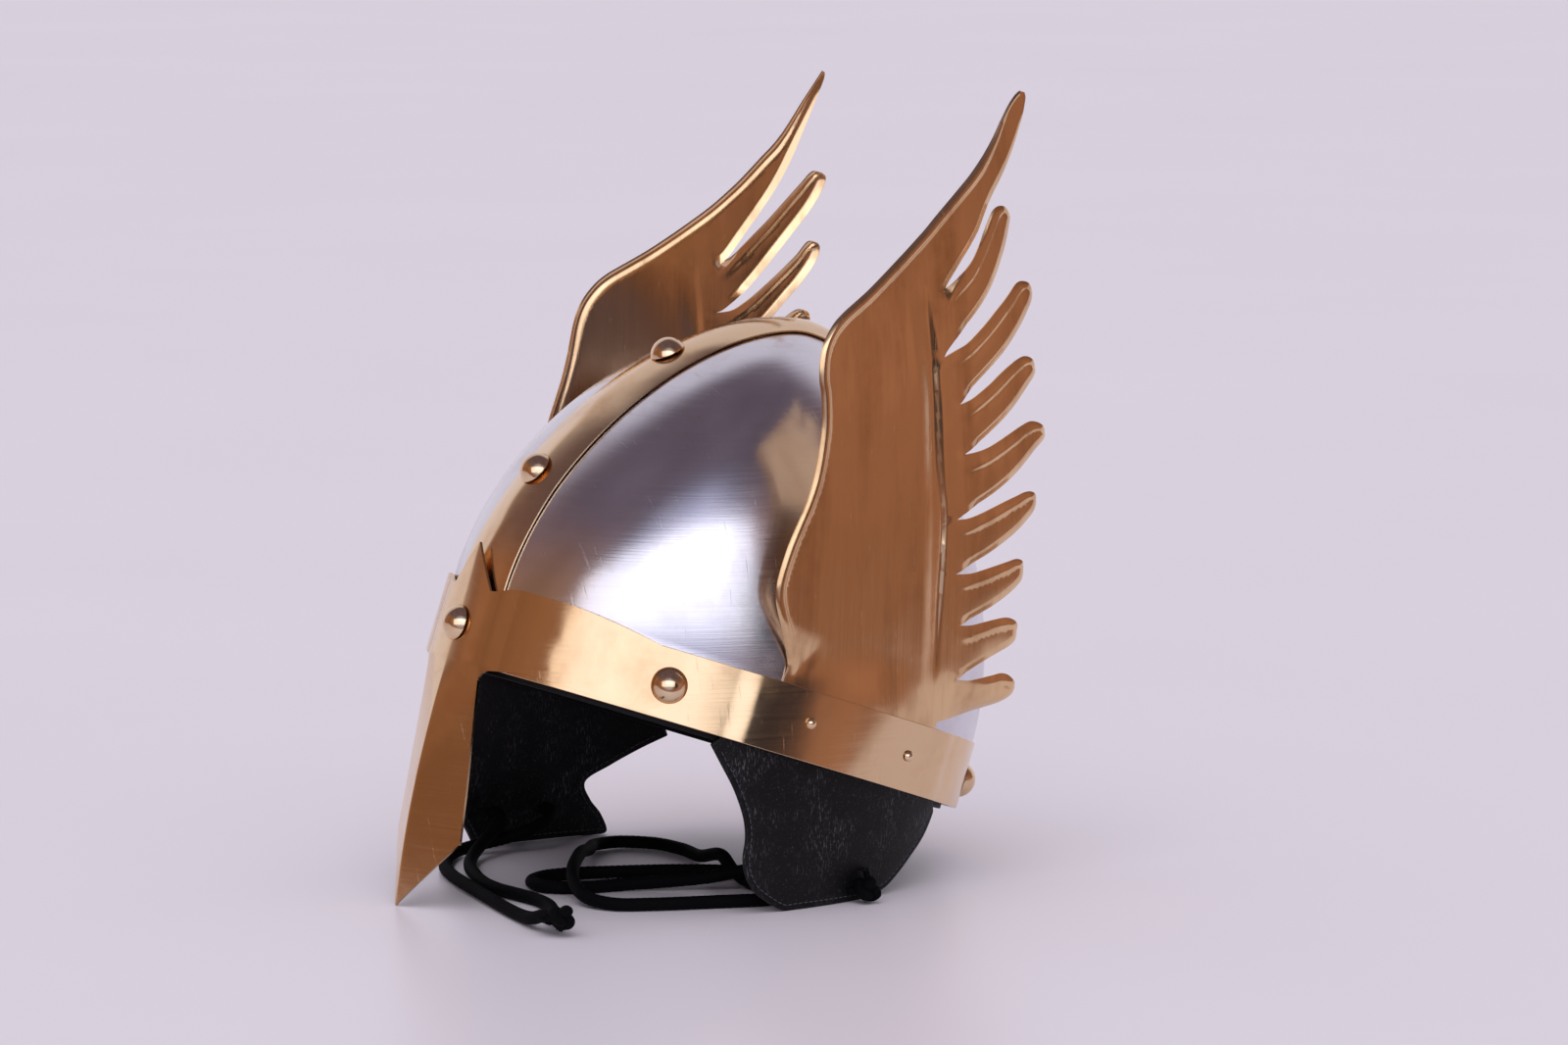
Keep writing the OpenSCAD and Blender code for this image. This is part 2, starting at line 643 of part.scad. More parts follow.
// Ear flaps: a root behind the rim and a hanging part that swings on a line just below it
flap_mid = -(skull_t + seat + flap_t / 2 + 0.05);
root_low = -leather_show;
root_high = 22;
hinge_gap = 2;
hinge_z = -leather_show - hinge_gap;
roll_r = 1.1;
roll_z = -leather_show - seat - roll_r;
roll_span = [-8, 20];
flap_dip = 0.65;
corner_h = 1;
flap_cols = 14;
function y_t(y) = asin(y / half_len(0, y));
function top_x(y) = off_skull(y_t(y), 0, flap_mid)[0];
hinge_x = off_skull(0, 0, flap_mid)[0];
module flap_root(top) {
    ys = [for (i = [0 : flap_cols]) along(top[0] + 3, top[1] - 3, i / flap_cols)];
    function row(z, d) = [for (y = ys) let (p = off_skull(y_t(y), 0, flap_mid + d)) [p[0], p[1], z]];
    difference() {
        sheet([row(root_low, flap_t / 2), row(root_high, flap_t / 2)],
            [row(root_low, -flap_t / 2), row(root_high, -flap_t / 2)]);
        stud_holes();
    }
}
module left_flap_root() {
    color(leather) stood() flap_root([left_front[0][1], left_back[0][1]]);
}
module right_flap_root() {
    color(leather) stood() mirror([1, 0, 0]) flap_root([right_front[0][1], right_back[0][1]]);
}

// How the helmet stands: pitched back, with the nose guard's point on the floor, and centred lengthwise
nose_tip = [0, nose_y(0, -nose_drop, plate_lift), -nose_drop];
nose_front = [0, nose_y(0, -nose_drop, plate_lift + plate_t), -nose_drop];
function stand_y(p) = p[1] * cos(stand_pitch) + p[2] * sin(stand_pitch);
function stand_z(p) = p[2] * cos(stand_pitch) - p[1] * sin(stand_pitch);
stand_lift = -stand_z(nose_tip);
back_rivet = on_line(0, crest_angles[3]) + (crest_lift + rivet_h - head_ball(rivet_d, rivet_h))
    * line_normal(crest_angles[3]);
stand_shift = -(stand_y(nose_front) + stand_y(back_rivet) + head_ball(rivet_d, rivet_h)) / 2;
// Outline of a hanging flap: where its front and back edges lie at each depth, and its rows of points
left_front = [[4, -41], [10, -34], [19, -26], [29, -18], [36, -15], [44, -14], [51, -10], [56, -3], [62, 8]];
left_back = [[4, 68], [12, 68], [21, 65], [31, 60], [40, 55], [47, 50]];
left_rows = [4, 16, 21, 31, 36, 40, 44, 47, 51, 56, 62];
right_front = [[4, -60], [20, -58], [36, -56], [48, -52], [58, -45], [66, -34], [72, -18]];
right_back = [[4, 44], [13, 34], [23, 24], [33, 15], [39, 20], [44, 28], [52, 34]];
right_rows = [4, 16, 23, 33, 39, 44, 48, 52, 58, 66, 72];
cord_clear = 0.9;
function flap_place(y, drop, splay, d) =
    [top_x(y) + d * cos(splay) + (drop + hinge_z) * tan(splay), y, d * sin(splay) - drop];
function flap_grid(front, back, rows, splay, d) = [for (r = [0 : len(rows) - 1])
    [for (c = [0 : flap_cols])
        let (y = along(lookup(rows[r], front), lookup(rows[r], back), c / flap_cols),
            top = flap_dip * (hinge_x - top_x(y)) - hinge_z)
        flap_place(y, r == 0 ? top : max(rows[r], top + corner_h), splay, d)]];
module flap(front, back, rows, splay) {
    translate([hinge_x, roll_span[1], roll_z]) rotate([90, 0, 0])
        cylinder(r = roll_r, h = roll_span[1] - roll_span[0], $fn = 24);
    sheet(flap_grid(front, back, rows, splay, -flap_t / 2), flap_grid(front, back, rows, splay, flap_t / 2));
}
module above_floor() {
    difference() {
        children();
        translate([-skull_wid, -skull_wid, -nose_drop]) cube([2 * skull_wid, 2 * skull_wid, nose_drop]);
    }
}
module left_flap() {
    color(leather) difference() {
        above_floor() stood() flap(left_front, left_back, left_rows, left_splay);
        translate(left_end) rotate([0, 90, 0])
            cylinder(d = cord_d + 2 * cord_clear, h = 3 * cord_d, center = true, $fn = 32);
    }
}
module right_flap() {
    color(leather) above_floor() stood() mirror([1, 0, 0])
        flap(right_front, right_back, right_rows, right_splay);
}

// Chin cords: each route runs along the middle of its cord, from the flap to the knot
cord_r = cord_d / 2;
cord_sides = 8;
left_route = [
    [87.5, 8, 10.5], [81.5, 8, 10.5], [72, 7, 9.2], [60, 5, 5.4], [46, 3.5, 3.1], [30, 4.5, 5.8],
    [14, 8.5, 9], [-17, 16, 3.2], [-36, 18.8, 2.7], [-53, 15.5, 2.7], [-63.5, 4, 2.8],
    [-60, -9, 3.4], [-45, -20.5, 5], [-26, -35, 8.1], [-8, -47.5, 9], [8, -58, 9],
    [25, -67, 7.2], [41, -70.5, 4], [54, -65, 2.8], [61, -53, 2.7], [70, -28, 2.7],
    [76.5, -6, 2.7], [74.5, 8, 2.7], [63, 19, 2.7], [40, 19, 2.7], [18, 10.5, 2.7], [5, -6, 2.7],
    [-5, -28, 2.7], [-12, -48, 2.7], [-12.5, -60, 2.7], [-5, -70, 2.7], [7.5, -70, 2.7],
    [15.5, -60, 2.7], [20, -40, 2.8], [36, -13, 5.4], [49, 4.5, 9.3], [61, 20, 9.3], [73, 28, 8],
    [81, 30, 6.8], [88.2, 30, 6.8]];
right_front_route = [
    [-92.7, -40, 15], [-86.5, -40, 15], [-79, -45, 12], [-73.5, -54, 7.6], [-67, -62.5, 4],
    [-57, -70, 2.8], [-44, -77, 2.7], [-31, -82, 2.7], [-19, -86, 2.7], [-7, -88.5, 2.7],
    [5, -89, 2.7], [17, -87.5, 2.7], [29, -86.5, 2.7], [41, -88, 2.7], [52, -92, 2.8],
    [62, -97.5, 3.5], [70.5, -102.4, 5], [77.5, -105.2, 6.6], [84, -105.2, 6.6]];
right_rear_route = [
    [-95, -14, 14], [-88.5, -14, 14], [-81, -20, 12], [-77.5, -31, 8.8], [-80, -43, 5.8],
    [-82, -53.5, 4], [-80, -63, 2.9], [-73, -71, 2.7], [-63, -78, 2.7], [-51, -85, 2.7],
    [-37, -90, 2.7], [-23, -93.5, 2.7], [-9, -96.3, 2.7], [5, -99, 2.7], [19, -101.8, 2.7],
    [33, -104.6, 2.7], [47, -107, 2.7], [60, -109, 3.2], [70, -110.6, 4.6], [77.5, -110.8, 6.6],
    [84, -110.8, 6.6]];

// A point halfway along a smooth curve between the middle two of four points
function half_way(a, b, c, d) = (9 * (b + c) - a - d) / 16;
function smooth(p) = let (n = len(p)) concat(
    [for (i = [0 : n - 2]) each [p[i], i == 0 || i == n - 2 ? (p[i] + p[i + 1]) / 2
        : half_way(p[i - 1], p[i], p[i + 1], p[i + 2])]],
    [p[n - 1]]);
module tube(path) {
    n = len(path);
    rings = [for (i = [0 : n - 1])
        let (dir = i == 0 ? unit(path[1] - path[0]) : i == n - 1 ? unit(path[i] - path[i - 1])
                : unit(path[i + 1] - path[i - 1]),
            out = unit(cross(dir, [0, 0, 1])), up = cross(out, dir))
        [for (k = [0 : cord_sides - 1]) let (q = 360 * (k + 0.5) / cord_sides)
            path[i] + cord_r * (cos(q) * out + sin(q) * up)]];
    polyhedron(flat(rings), concat(grid_faces(n, cord_sides, true, 0, false),
        [[for (k = [cord_sides - 1 : -1 : 0]) k]],
        [[for (k = [0 : cord_sides - 1]) (n - 1) * cord_sides + k]]));
}
module left_cord() {
    color(cord_black) tube(smooth(left_route));
}
module right_cord_front() {
    color(cord_black) tube(right_front_route);
}
module right_cord_rear() {
    color(cord_black) tube(right_rear_route);
}

// Knots lie on the floor, each with a flat face against the ends of its cords
knot_end = 0.9;
floor_gap = 0.1;
module knot(face, y) {
    half = knot_d / 2;
    bulge = (half * half + pow(half * (1 - knot_end), 2)) / (2 * half * (1 - knot_end));
    translate([face + half, y, half + floor_gap]) rotate([0, 90, 0]) rotate_extrude($fn = 40)
        intersection() {
            translate([half - bulge, 0]) circle(bulge, $fn = 240);
            translate([0, -half]) square([half, knot_d]);
        }
}
left_end = left_route[len(left_route) - 1];
front_end = right_front_route[len(right_front_route) - 1];
rear_end = right_rear_route[len(right_rear_route) - 1];
module left_knot() {
    color(cord_black) knot(left_end[0], left_end[1]);
}
module right_knot() {
    color(cord_black) knot(front_end[0], (front_end[1] + rear_end[1]) / 2);
}

module stood() {
    translate([0, stand_shift, stand_lift]) rotate([-stand_pitch, 0, 0]) children();
}

skull();
brow_band();
crest_band();
front_plate();
left_wing();
right_wing();
nasal_rivet();
crest_rivets();
side_rivets();
rear_rivets();
left_wing_rivets();
right_wing_rivets();
rivet_washers();
sweatband();
liner_leaf_1();
liner_leaf_2();
liner_leaf_3();
liner_leaf_4();
liner_leaf_5();
liner_leaf_6();
liner_leaf_7();
liner_leaf_8();
crown_lace();
left_flap_root();
left_flap();
right_flap_root();
right_flap();
left_cord();
left_knot();
right_cord_front();
right_cord_rear();
right_knot();
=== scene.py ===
"""A winged helmet in polished steel and brass, with leather ear flaps and chin cords.

Shapes are worked out in millimetres in the helmet's own axes, where the rim lies at z = 0,
and stood() turns them into the frame in which the helmet stands on the floor.
"""
import json
import math

import bpy
import numpy as np
from mathutils import Matrix, Vector, noise
from mathutils.geometry import delaunay_2d_cdt


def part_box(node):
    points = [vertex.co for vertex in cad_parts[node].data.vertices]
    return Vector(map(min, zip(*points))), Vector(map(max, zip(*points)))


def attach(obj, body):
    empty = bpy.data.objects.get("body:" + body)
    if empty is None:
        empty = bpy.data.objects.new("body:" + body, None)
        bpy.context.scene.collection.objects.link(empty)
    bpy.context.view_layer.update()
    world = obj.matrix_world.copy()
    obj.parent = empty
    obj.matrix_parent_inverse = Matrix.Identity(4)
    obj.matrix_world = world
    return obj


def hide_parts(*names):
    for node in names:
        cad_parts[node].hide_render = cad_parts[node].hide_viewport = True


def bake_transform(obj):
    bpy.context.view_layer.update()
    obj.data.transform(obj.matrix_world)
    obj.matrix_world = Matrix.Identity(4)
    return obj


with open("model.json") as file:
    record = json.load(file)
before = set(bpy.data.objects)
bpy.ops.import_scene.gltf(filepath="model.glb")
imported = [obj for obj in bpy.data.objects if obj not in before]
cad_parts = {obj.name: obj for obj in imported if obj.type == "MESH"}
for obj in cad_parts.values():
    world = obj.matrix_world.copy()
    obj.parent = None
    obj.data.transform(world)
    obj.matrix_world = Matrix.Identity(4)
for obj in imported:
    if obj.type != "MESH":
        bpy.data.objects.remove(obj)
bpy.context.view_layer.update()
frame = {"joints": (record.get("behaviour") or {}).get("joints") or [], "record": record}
MM = 0.001

# Driving sizes of the part, in millimetres
SKULL_FRONT = 114.5
SKULL_BACK = 116.5
SKULL_WID = 186.8
SKULL_H = 171.5
SKULL_T = 0.9
BAND_H = 28
BAND_T = 0.8
CREST_FRONT_W = 38
CREST_W = 33
CREST_T = 0.8
CREST_KEEL = 2.4
CREST_END = 2
PLATE_T = 1.2
NOSE_DROP = 101
NOSE_HALF = 26
NOSE_NECK = 20.5
NOSE_CORNER = 31
NOSE_FILLET = 9
NOSE_SWEEP = 9.6
NOSE_SLOPE = 0.43
SPIKE_H = 48
NOTCH_H = 30
ARM_TOP = 33.5
ARM_LOW = 2
ARM_END_HALF = 12.8
ARM_END_LEN = 12
WING_T = 0.7
WING_LEAN = 0.06
WING_TOE = 0.09
WING_BOW = 8
WING_STAND = 93.5
WING_TOP = 284
TAB_DEPTH = 24
RIVET_D = 14.6
RIVET_H = 5.6
STUD_D = 4.6
STUD_H = 1.9
SHANK_D = 4
PIN_D = 2.4
PEEN_T = 1
WASHER_D = 9
FLAP_T = 2
LEFT_SPLAY = -2.5
RIGHT_SPLAY = 7
SWEAT_T = 1.8
SWEAT_H = 32
LEATHER_SHOW = 2
LEAF_T = 1.4
LEAF_W = 52
LACE_W = 4
LACE_T = 1.4
CORD_D = 5.4
KNOT_D = 13

# Clearances, and the shape of the dome
SEAT = 0.3
CREST_GAP = 0.4
WASHER_GAP = 0.45
LEN_POWER = 1.7
WID_POWER = 2.1
DOME_POWER = 0.6
RIM_LEAN = 0.055
CROWN_LEAN = -0.17
RIM_FULL = 0.083
CROWN_FULL = 0.45
DOME_H = SKULL_H - BAND_H
KEEL_LOW = 0.8
KEEL_FULL_Z = 45
HINGE_DROP = 4
FLAP_MID = -(SKULL_T + SEAT + FLAP_T / 2 + 0.05)
PLATE_LIFT = 2 * SEAT + BAND_T

# Rivet places: angles round the rim and over the crest in degrees, heights in millimetres
SIDE_RIVET = (-33.4, 13.6)
REAR_RIVET = (68.5, 12)
NASAL_RIVET = (-90, 14.5)
CREST_RIVETS = (27.7, 62.7, 117.3, 152.3)
STUDS = ((-2.6, 15.4), (23.1, 14.2))

hinge = next(j for j in frame["joints"] if j["name"] == "left_flap_hinge")
opening = next(m for m in frame["record"]["mounts"] if m["name"] == "head_opening")
PITCH = math.atan2(hinge["axis"][2], -hinge["axis"][1])
STAND = np.array(opening["pos_m"]) / MM


def stood(points):
    """Points of the helmet's own axes, in the frame in which it stands."""
    p = np.asarray(points, float)
    c, s = math.cos(PITCH), math.sin(PITCH)
    turned = np.stack([p[..., 0], c * p[..., 1] + s * p[..., 2], c * p[..., 2] - s * p[..., 1]], -1)
    return turned + STAND


# The photograph's camera: place in metres, the way it looks, focal length and sensor in millimetres
CAMERA_PLACE = (2.2292, -1.3060, 0.4916)
CAMERA_WAY = (-0.8473, 0.5142, -0.1328)
CAMERA_LENS = 146.7
CAMERA_SENSOR = 36


def linked(name, data):
    """A new object in the scene."""
    made = bpy.data.objects.new(name, data)
    bpy.context.scene.collection.objects.link(made)
    return made


def aim(made, place, way):
    """Puts a camera or a lamp at a place, looking along a way."""
    made.location = place
    made.rotation_mode = "QUATERNION"
    made.rotation_quaternion = way.to_track_quat("-Z", "Y")


def make_camera():
    data = bpy.data.cameras.new("camera")
    data.sensor_width = CAMERA_SENSOR
    data.lens = CAMERA_LENS
    camera = linked("camera", data)
    aim(camera, CAMERA_PLACE, Vector(CAMERA_WAY))
    bpy.context.scene.camera = camera


make_camera()


# Small helpers for numbers
def clamp(x, low=0.0, high=1.0):
    return np.minimum(np.maximum(x, low), high)


def ramp(start, end, x):
    return clamp((x - start) / (end - start))


def ease(f):
    return f * f * (3 - 2 * f)


def blend(a, b, f):
    return a + (b - a) * f


def sin_deg(a):
    return np.sin(np.radians(a))


def cos_deg(a):
    return np.cos(np.radians(a))


def unit(v):
    return v / np.linalg.norm(v, axis=-1, keepdims=True)


def lengths_along(line):
    """How far along a line each of its points lies."""
    return np.concatenate([[0], np.cumsum(np.linalg.norm(np.diff(line, axis=0), axis=1))])


def spline(points, step):
    """Points about one step apart on a smooth curve through the given points."""
    p = np.asarray(points, float)
    p = np.vstack([2 * p[0] - p[1], p, 2 * p[-1] - p[-2]])
    knots = np.concatenate([[0], np.cumsum(np.sqrt(np.linalg.norm(np.diff(p, axis=0), axis=1)))])
    made = []
    for i in range(1, len(p) - 2):
        a, b, c, d = p[i - 1:i + 3]
        k0, k1, k2, k3 = knots[i - 1:i + 3]
        count = max(1, int(math.ceil(np.linalg.norm(c - b) / step)))
        k = np.linspace(k1, k2, count, endpoint=False)[:, None]

        def between(one, two, start, end):
            return one * (end - k) / (end - start) + two * (k - start) / (end - start)

        ab, bc, cd = between(a, b, k0, k1), between(b, c, k1, k2), between(c, d, k2, k3)
        made.append(between(between(ab, bc, k0, k2), between(bc, cd, k1, k3), k1, k2))
    made.append(p[-2:-1])
    return np.vstack(made)


def wave(points, length, seed):
    """Smooth noise from -1 to 1 at each point; length is the size of its swells."""
    shift = Vector((seed * 17.3, seed * 5.1, seed * 9.7))
    return np.array([noise.noise(Vector(p) / length + shift) for p in points])


# Materials
class Net:
    """Adds nodes to a material or a world and links them."""

    def __init__(self, owner):
        owner.use_nodes = True
        self.owner = owner
        self.tree = owner.node_tree
        self.tree.nodes.clear()
        self.coords = self.tree.nodes.new("ShaderNodeTexCoord").outputs["Object"]

    def node(self, kind, inputs=(), **settings):
        made = self.tree.nodes.new(kind)
        for key, value in settings.items():
            setattr(made, key, value)
        for key, value in dict(inputs).items():
            self.set(made.inputs[key], value)
        return made

    def set(self, socket, value):
        if isinstance(value, bpy.types.NodeSocket):
            self.tree.links.new(value, socket)
        else:
            socket.default_value = value

    def principled(self, inputs):
        return self.node("ShaderNodeBsdfPrincipled", inputs).outputs[0]

    def surface(self, kind, shader):
        """Ends the net in an output and returns what it belongs to."""
        self.node(kind, {"Surface": shader})
        return self.owner

    def stretched(self, scale, turn=(0, 0, 0)):
        made = self.node("ShaderNodeMapping", {"Vector": self.coords, "Rotation": turn, "Scale": scale})
        return made.outputs[0]

    def noise(self, vector, scale, detail=3.0, rough=0.5, distort=0.0):
        return self.node("ShaderNodeTexNoise", {
            "Vector": vector, "Scale": scale, "Detail": detail, "Roughness": rough,
            "Distortion": distort}).outputs["Fac"]

    def remap(self, value, low, high, to_low=0.0, to_high=1.0, smooth=False):
        made = self.node("ShaderNodeMapRange", {
            "Value": value, "From Min": low, "From Max": high, "To Min": to_low, "To Max": to_high})
        made.interpolation_type = "SMOOTHSTEP" if smooth else "LINEAR"
        return made.outputs["Result"]

    def math(self, operation, a, b):
        return self.node("ShaderNodeMath", {0: a, 1: b}, operation=operation).outputs[0]

    def toward(self, vector, way):
        """How far a vector goes along a way."""
        made = self.node("ShaderNodeVectorMath", {0: vector, 1: way}, operation="DOT_PRODUCT")
        return made.outputs["Value"]

    def mix(self, factor, a, b, how="MIX"):
        """Blends two colours, each a constant or a socket."""
        a, b = (c if isinstance(c, bpy.types.NodeSocket) else (*c, 1) for c in (a, b))
        made = self.node("ShaderNodeMix", {0: factor, 6: a, 7: b}, data_type="RGBA", blend_type=how)
        return made.outputs[2]

    def bump(self, height, distance, strength=1.0, normal=None):
        inputs = {"Height": height, "Distance": distance, "Strength": strength}
        if normal is not None:
            inputs["Normal"] = normal
        return self.node("ShaderNodeBump", inputs).outputs[0]


# Stretch and turn of scratches, scuffs and creases, and depths in metres
SCRATCH_SCALE = (40, 900, 55)
SCRATCH_TURN = (0.5, 0.4, 0.9)
SCRATCH_DEPTH = -0.00002
SCRATCH_ROUGH = 0.12
SCUFF_SCALE = (420, 2000, 330)
SCUFF_TURN = (0.75, 0, 0)
CREASE_SCALE = (1, 1, 1.6)
PORE_DEPTH = 0.00012
CREASE_DEPTH = 0.0002
FIBRE_DEPTH = 0.00012
OUTPUT = "ShaderNodeOutputMaterial"


def metal(name, color, stain, rough, rough_stain, brush_turn, brush_lines, brush_depth, dents=0.0,
          clouds=(28, 28, 28)):
    """Polished sheet metal: cloudy stains, fine brushed lines, stray scratches and faint dents."""
    net = Net(bpy.data.materials.new(name))
    cloud = net.noise(net.stretched(clouds, brush_turn), 1.0, detail=4.0, rough=0.6, distort=0.4)
    fine = net.noise(net.coords, 160.0, rough=0.6)
    stained = net.math("MULTIPLY", net.remap(cloud, 0.45, 0.75), net.remap(fine, 0.3, 0.7, 0.4, 1.0))
    lines = net.noise(net.stretched(brush_lines, brush_turn), 1.0, detail=4.0, rough=0.7)
    scratch = net.noise(net.stretched(SCRATCH_SCALE, SCRATCH_TURN), 1.0, rough=0.6)
    scratched = net.remap(scratch, 0.66, 0.74)
    mottled = net.math("ADD", net.remap(stained, 0, 1, rough, rough_stain),
                       net.remap(lines, 0.3, 0.75, -0.03, 0.06))
    normal = net.bump(lines, brush_depth, 0.5)
    normal = net.bump(scratched, SCRATCH_DEPTH, 0.5, normal)
    if dents:
        normal = net.bump(net.noise(net.coords, 45.0, detail=2.0, rough=0.4), dents, 0.6, normal)
    return net.surface(OUTPUT, net.principled({
        "Base Color": net.mix(stained, color, stain), "Metallic": 1.0, "Normal": normal,
        "Roughness": net.math("ADD", mottled, net.math("MULTIPLY", scratched, SCRATCH_ROUGH))}))


def leather(name, color, worn, rough, grain, scuffs):
    """Black leather with pores, soft creases and pale scuffs."""
    net = Net(bpy.data.materials.new(name))
    pores = net.node("ShaderNodeTexVoronoi", {"Vector": net.coords, "Scale": grain}, feature="F1")
    creases = net.noise(net.stretched(CREASE_SCALE), 240.0, detail=4.0, rough=0.65, distort=1.2)
    streaks = net.noise(net.stretched(SCUFF_SCALE, SCUFF_TURN), 1.0, rough=0.7)
    patches = net.noise(net.coords, 55.0, rough=0.6)
    scuffed = net.math("MULTIPLY", net.remap(streaks, 0.55, 0.70), net.remap(patches, 0.45, 0.63))
    dust = net.remap(net.noise(net.coords, 1300.0, detail=2.0), 0.62, 0.75)
    faded = net.math("MULTIPLY", net.math("MAXIMUM", scuffed, net.math("MULTIPLY", dust, 0.35)), scuffs)
    normal = net.bump(pores.outputs["Distance"], PORE_DEPTH, 0.5)
    return net.surface(OUTPUT, net.principled({
        "Base Color": net.mix(faded, color, worn), "Normal": net.bump(creases, CREASE_DEPTH, 0.5, normal),
        "Roughness": net.remap(faded, 0, 1, rough, rough + 0.25), "Specular IOR Level": 0.2}))


def braid(name, color, worn):
    """Black cord: the strands are modelled, and this adds their fibres and dust."""
    net = Net(bpy.data.materials.new(name))
    fibres = net.noise(net.coords, 2600.0, detail=2.0, rough=0.6)
    dust = net.remap(net.noise(net.coords, 420.0, detail=4.0, rough=0.7), 0.55, 0.8, 0.0, 0.6)
    return net.surface(OUTPUT, net.principled({
        "Base Color": net.mix(dust, color, worn), "Normal": net.bump(fibres, FIBRE_DEPTH, 0.6),
        "Roughness": 0.8, "Specular IOR Level": 0.07}))


# Turn and stretch of the brushed lines and clouds, and the finish of each material slot
BAND_TURN = (math.radians(-8), 0, 0)
WING_TURN = (math.radians(-22), 0, 0)
ROUND_LINES = (14, 14, 1500)
UPRIGHT_LINES = (14, 1200, 14)
WING_CLOUDS = (48, 70, 10)
FINISHES = {
    "skull_steel": metal("brushed_steel", (0.74, 0.73, 0.78), (0.62, 0.58, 0.60), 0.18, 0.30,
                         BAND_TURN, ROUND_LINES, 0.00005),
    "washer_steel": metal("washer_steel", (0.55, 0.55, 0.58), (0.40, 0.38, 0.37), 0.30, 0.45,
                          BAND_TURN, ROUND_LINES, 0.00004),
    "band_brass": metal("band_brass", (0.82, 0.60, 0.37), (0.68, 0.42, 0.22), 0.13, 0.24,
                        BAND_TURN, ROUND_LINES, 0.00001, 0.0004),
    "wing_brass": metal("wing_brass", (0.81, 0.56, 0.32), (0.50, 0.29, 0.14), 0.16, 0.27,
                        WING_TURN, UPRIGHT_LINES, 0.00004, 0.0004, WING_CLOUDS),
    "rivet_brass": metal("rivet_brass", (0.84, 0.64, 0.42), (0.68, 0.44, 0.25), 0.12, 0.24,
                         BAND_TURN, ROUND_LINES, 0.00001),
    "flap_leather": leather("flap_leather", (0.0035, 0.0033, 0.0045), (0.15, 0.15, 0.165),
                            0.46, 900.0, 0.9),
    "liner_leather": leather("liner_leather", (0.006, 0.0055, 0.006), (0.05, 0.045, 0.045),
                             0.55, 1100.0, 0.35),
    "cord_fabric": braid("cord_fabric", (0.002, 0.002, 0.003), (0.007, 0.007, 0.01))}
SEAM_THREAD = braid("seam_thread", (0.07, 0.07, 0.085), (0.16, 0.16, 0.19))


# Mesh making
def grid_faces(rows, cols, wrap=False, base=0):
    r = np.arange(rows - 1)[:, None] * cols + base
    c = np.arange(cols if wrap else cols - 1)[None, :]
    n = (c + 1) % cols
    return np.stack([r + c, r + n, r + n + cols, r + c + cols], -1).reshape(-1, 4)


def end_fan(ring, count, middle, turn=1):
    """Triangles between a ring of points, from its first, and the point that closes it."""
    return [[ring + c, ring + (c + 1) % count, middle][::turn] for c in range(count)]


def piece(name, points, faces, slot, nodes=(), body="helmet", sharp=35, material=None):
    """One object of the helmet, from points in millimetres in the standing frame."""
    mesh = bpy.data.meshes.new(name)
    mesh.from_pydata((np.asarray(points) * MM).tolist(), [], [list(map(int, f)) for f in faces])
    mesh.validate()
    mesh.shade_smooth()
    mesh.set_sharp_from_angle(angle=math.radians(sharp))
    mesh.materials.append(material or FINISHES[slot])
    made = linked(name, mesh)
    if nodes:
        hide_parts(*nodes)
    if body:
        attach(made, body)
    return made


def thicken(made, thickness, inward=True, edge=0.25, segments=2, even=True):
    """Gives a surface its thickness and takes the corner off its edges."""
    solid = made.modifiers.new("thickness", "SOLIDIFY")
    solid.thickness = thickness * MM
    solid.offset = -1 if inward else 0
    solid.use_even_offset = even
    solid.use_quality_normals = even
    bevel = made.modifiers.new("edge", "BEVEL")
    bevel.width = edge * MM
    bevel.segments = segments
    bevel.limit_method = "ANGLE"
    bevel.angle_limit = math.radians(50)
    bevel.harden_normals = even


def sheet(name, points, rows, wrap, slot, node, thickness, **edge):
    """A thin sheet over rows of points in the helmet's own axes; wrap closes each row to a ring."""
    flat = points.reshape(-1, 3)
    made = piece(name, stood(flat), grid_faces(rows, len(flat) // rows, wrap), slot, [node])
    thicken(made, thickness, **edge)


# The steel skull
BOWL_ROWS = 90
BOWL_COLS = 288
WALL_ROWS = 6


def rise(z):
    return clamp((z - BAND_H) / DOME_H, 0, 0.9999)


def half_len(z, s):
    return np.where(s < 0, SKULL_FRONT, SKULL_BACK) * (1 - rise(z) ** LEN_POWER) ** DOME_POWER


def half_wid(z):
    return SKULL_WID / 2 * (1 - rise(z) ** WID_POWER) ** DOME_POWER


def egg(s, z):
    f = rise(z)
    return 1 + blend(RIM_LEAN, CROWN_LEAN, f) * s + blend(RIM_FULL, CROWN_FULL, f) * s * s


def on_skull(t, z):
    t, z = np.broadcast_arrays(np.asarray(t, float), np.asarray(z, float))
    s, c = sin_deg(t), cos_deg(t)
    return np.stack([half_wid(z) * egg(s, z) * c, half_len(z, s) * s, z], -1)


def normal_at(t, z):
    """Outward normal of the skull, from small steps along its surface."""
    t, z = np.broadcast_arrays(np.asarray(t, float), np.asarray(z, float))
    round_step = on_skull(t + 0.5, z) - on_skull(t - 0.5, z)
    up_step = on_skull(t, z + 0.2) - on_skull(t, z - 0.2)
    up_step = np.where((z <= BAND_H)[..., None], np.array([0, 0, 1.0]), up_step)
    return unit(np.cross(round_step, up_step))


def off_skull(t, z, d):
    return on_skull(t, z) + np.asarray(d)[..., None] * normal_at(t, z)


def swells(points, *waves):
    """A sum of waves, each a height, a length and a seed: how a hand-beaten sheet strays."""
    return sum(height * wave(points, length, seed) for height, length, seed in waves)


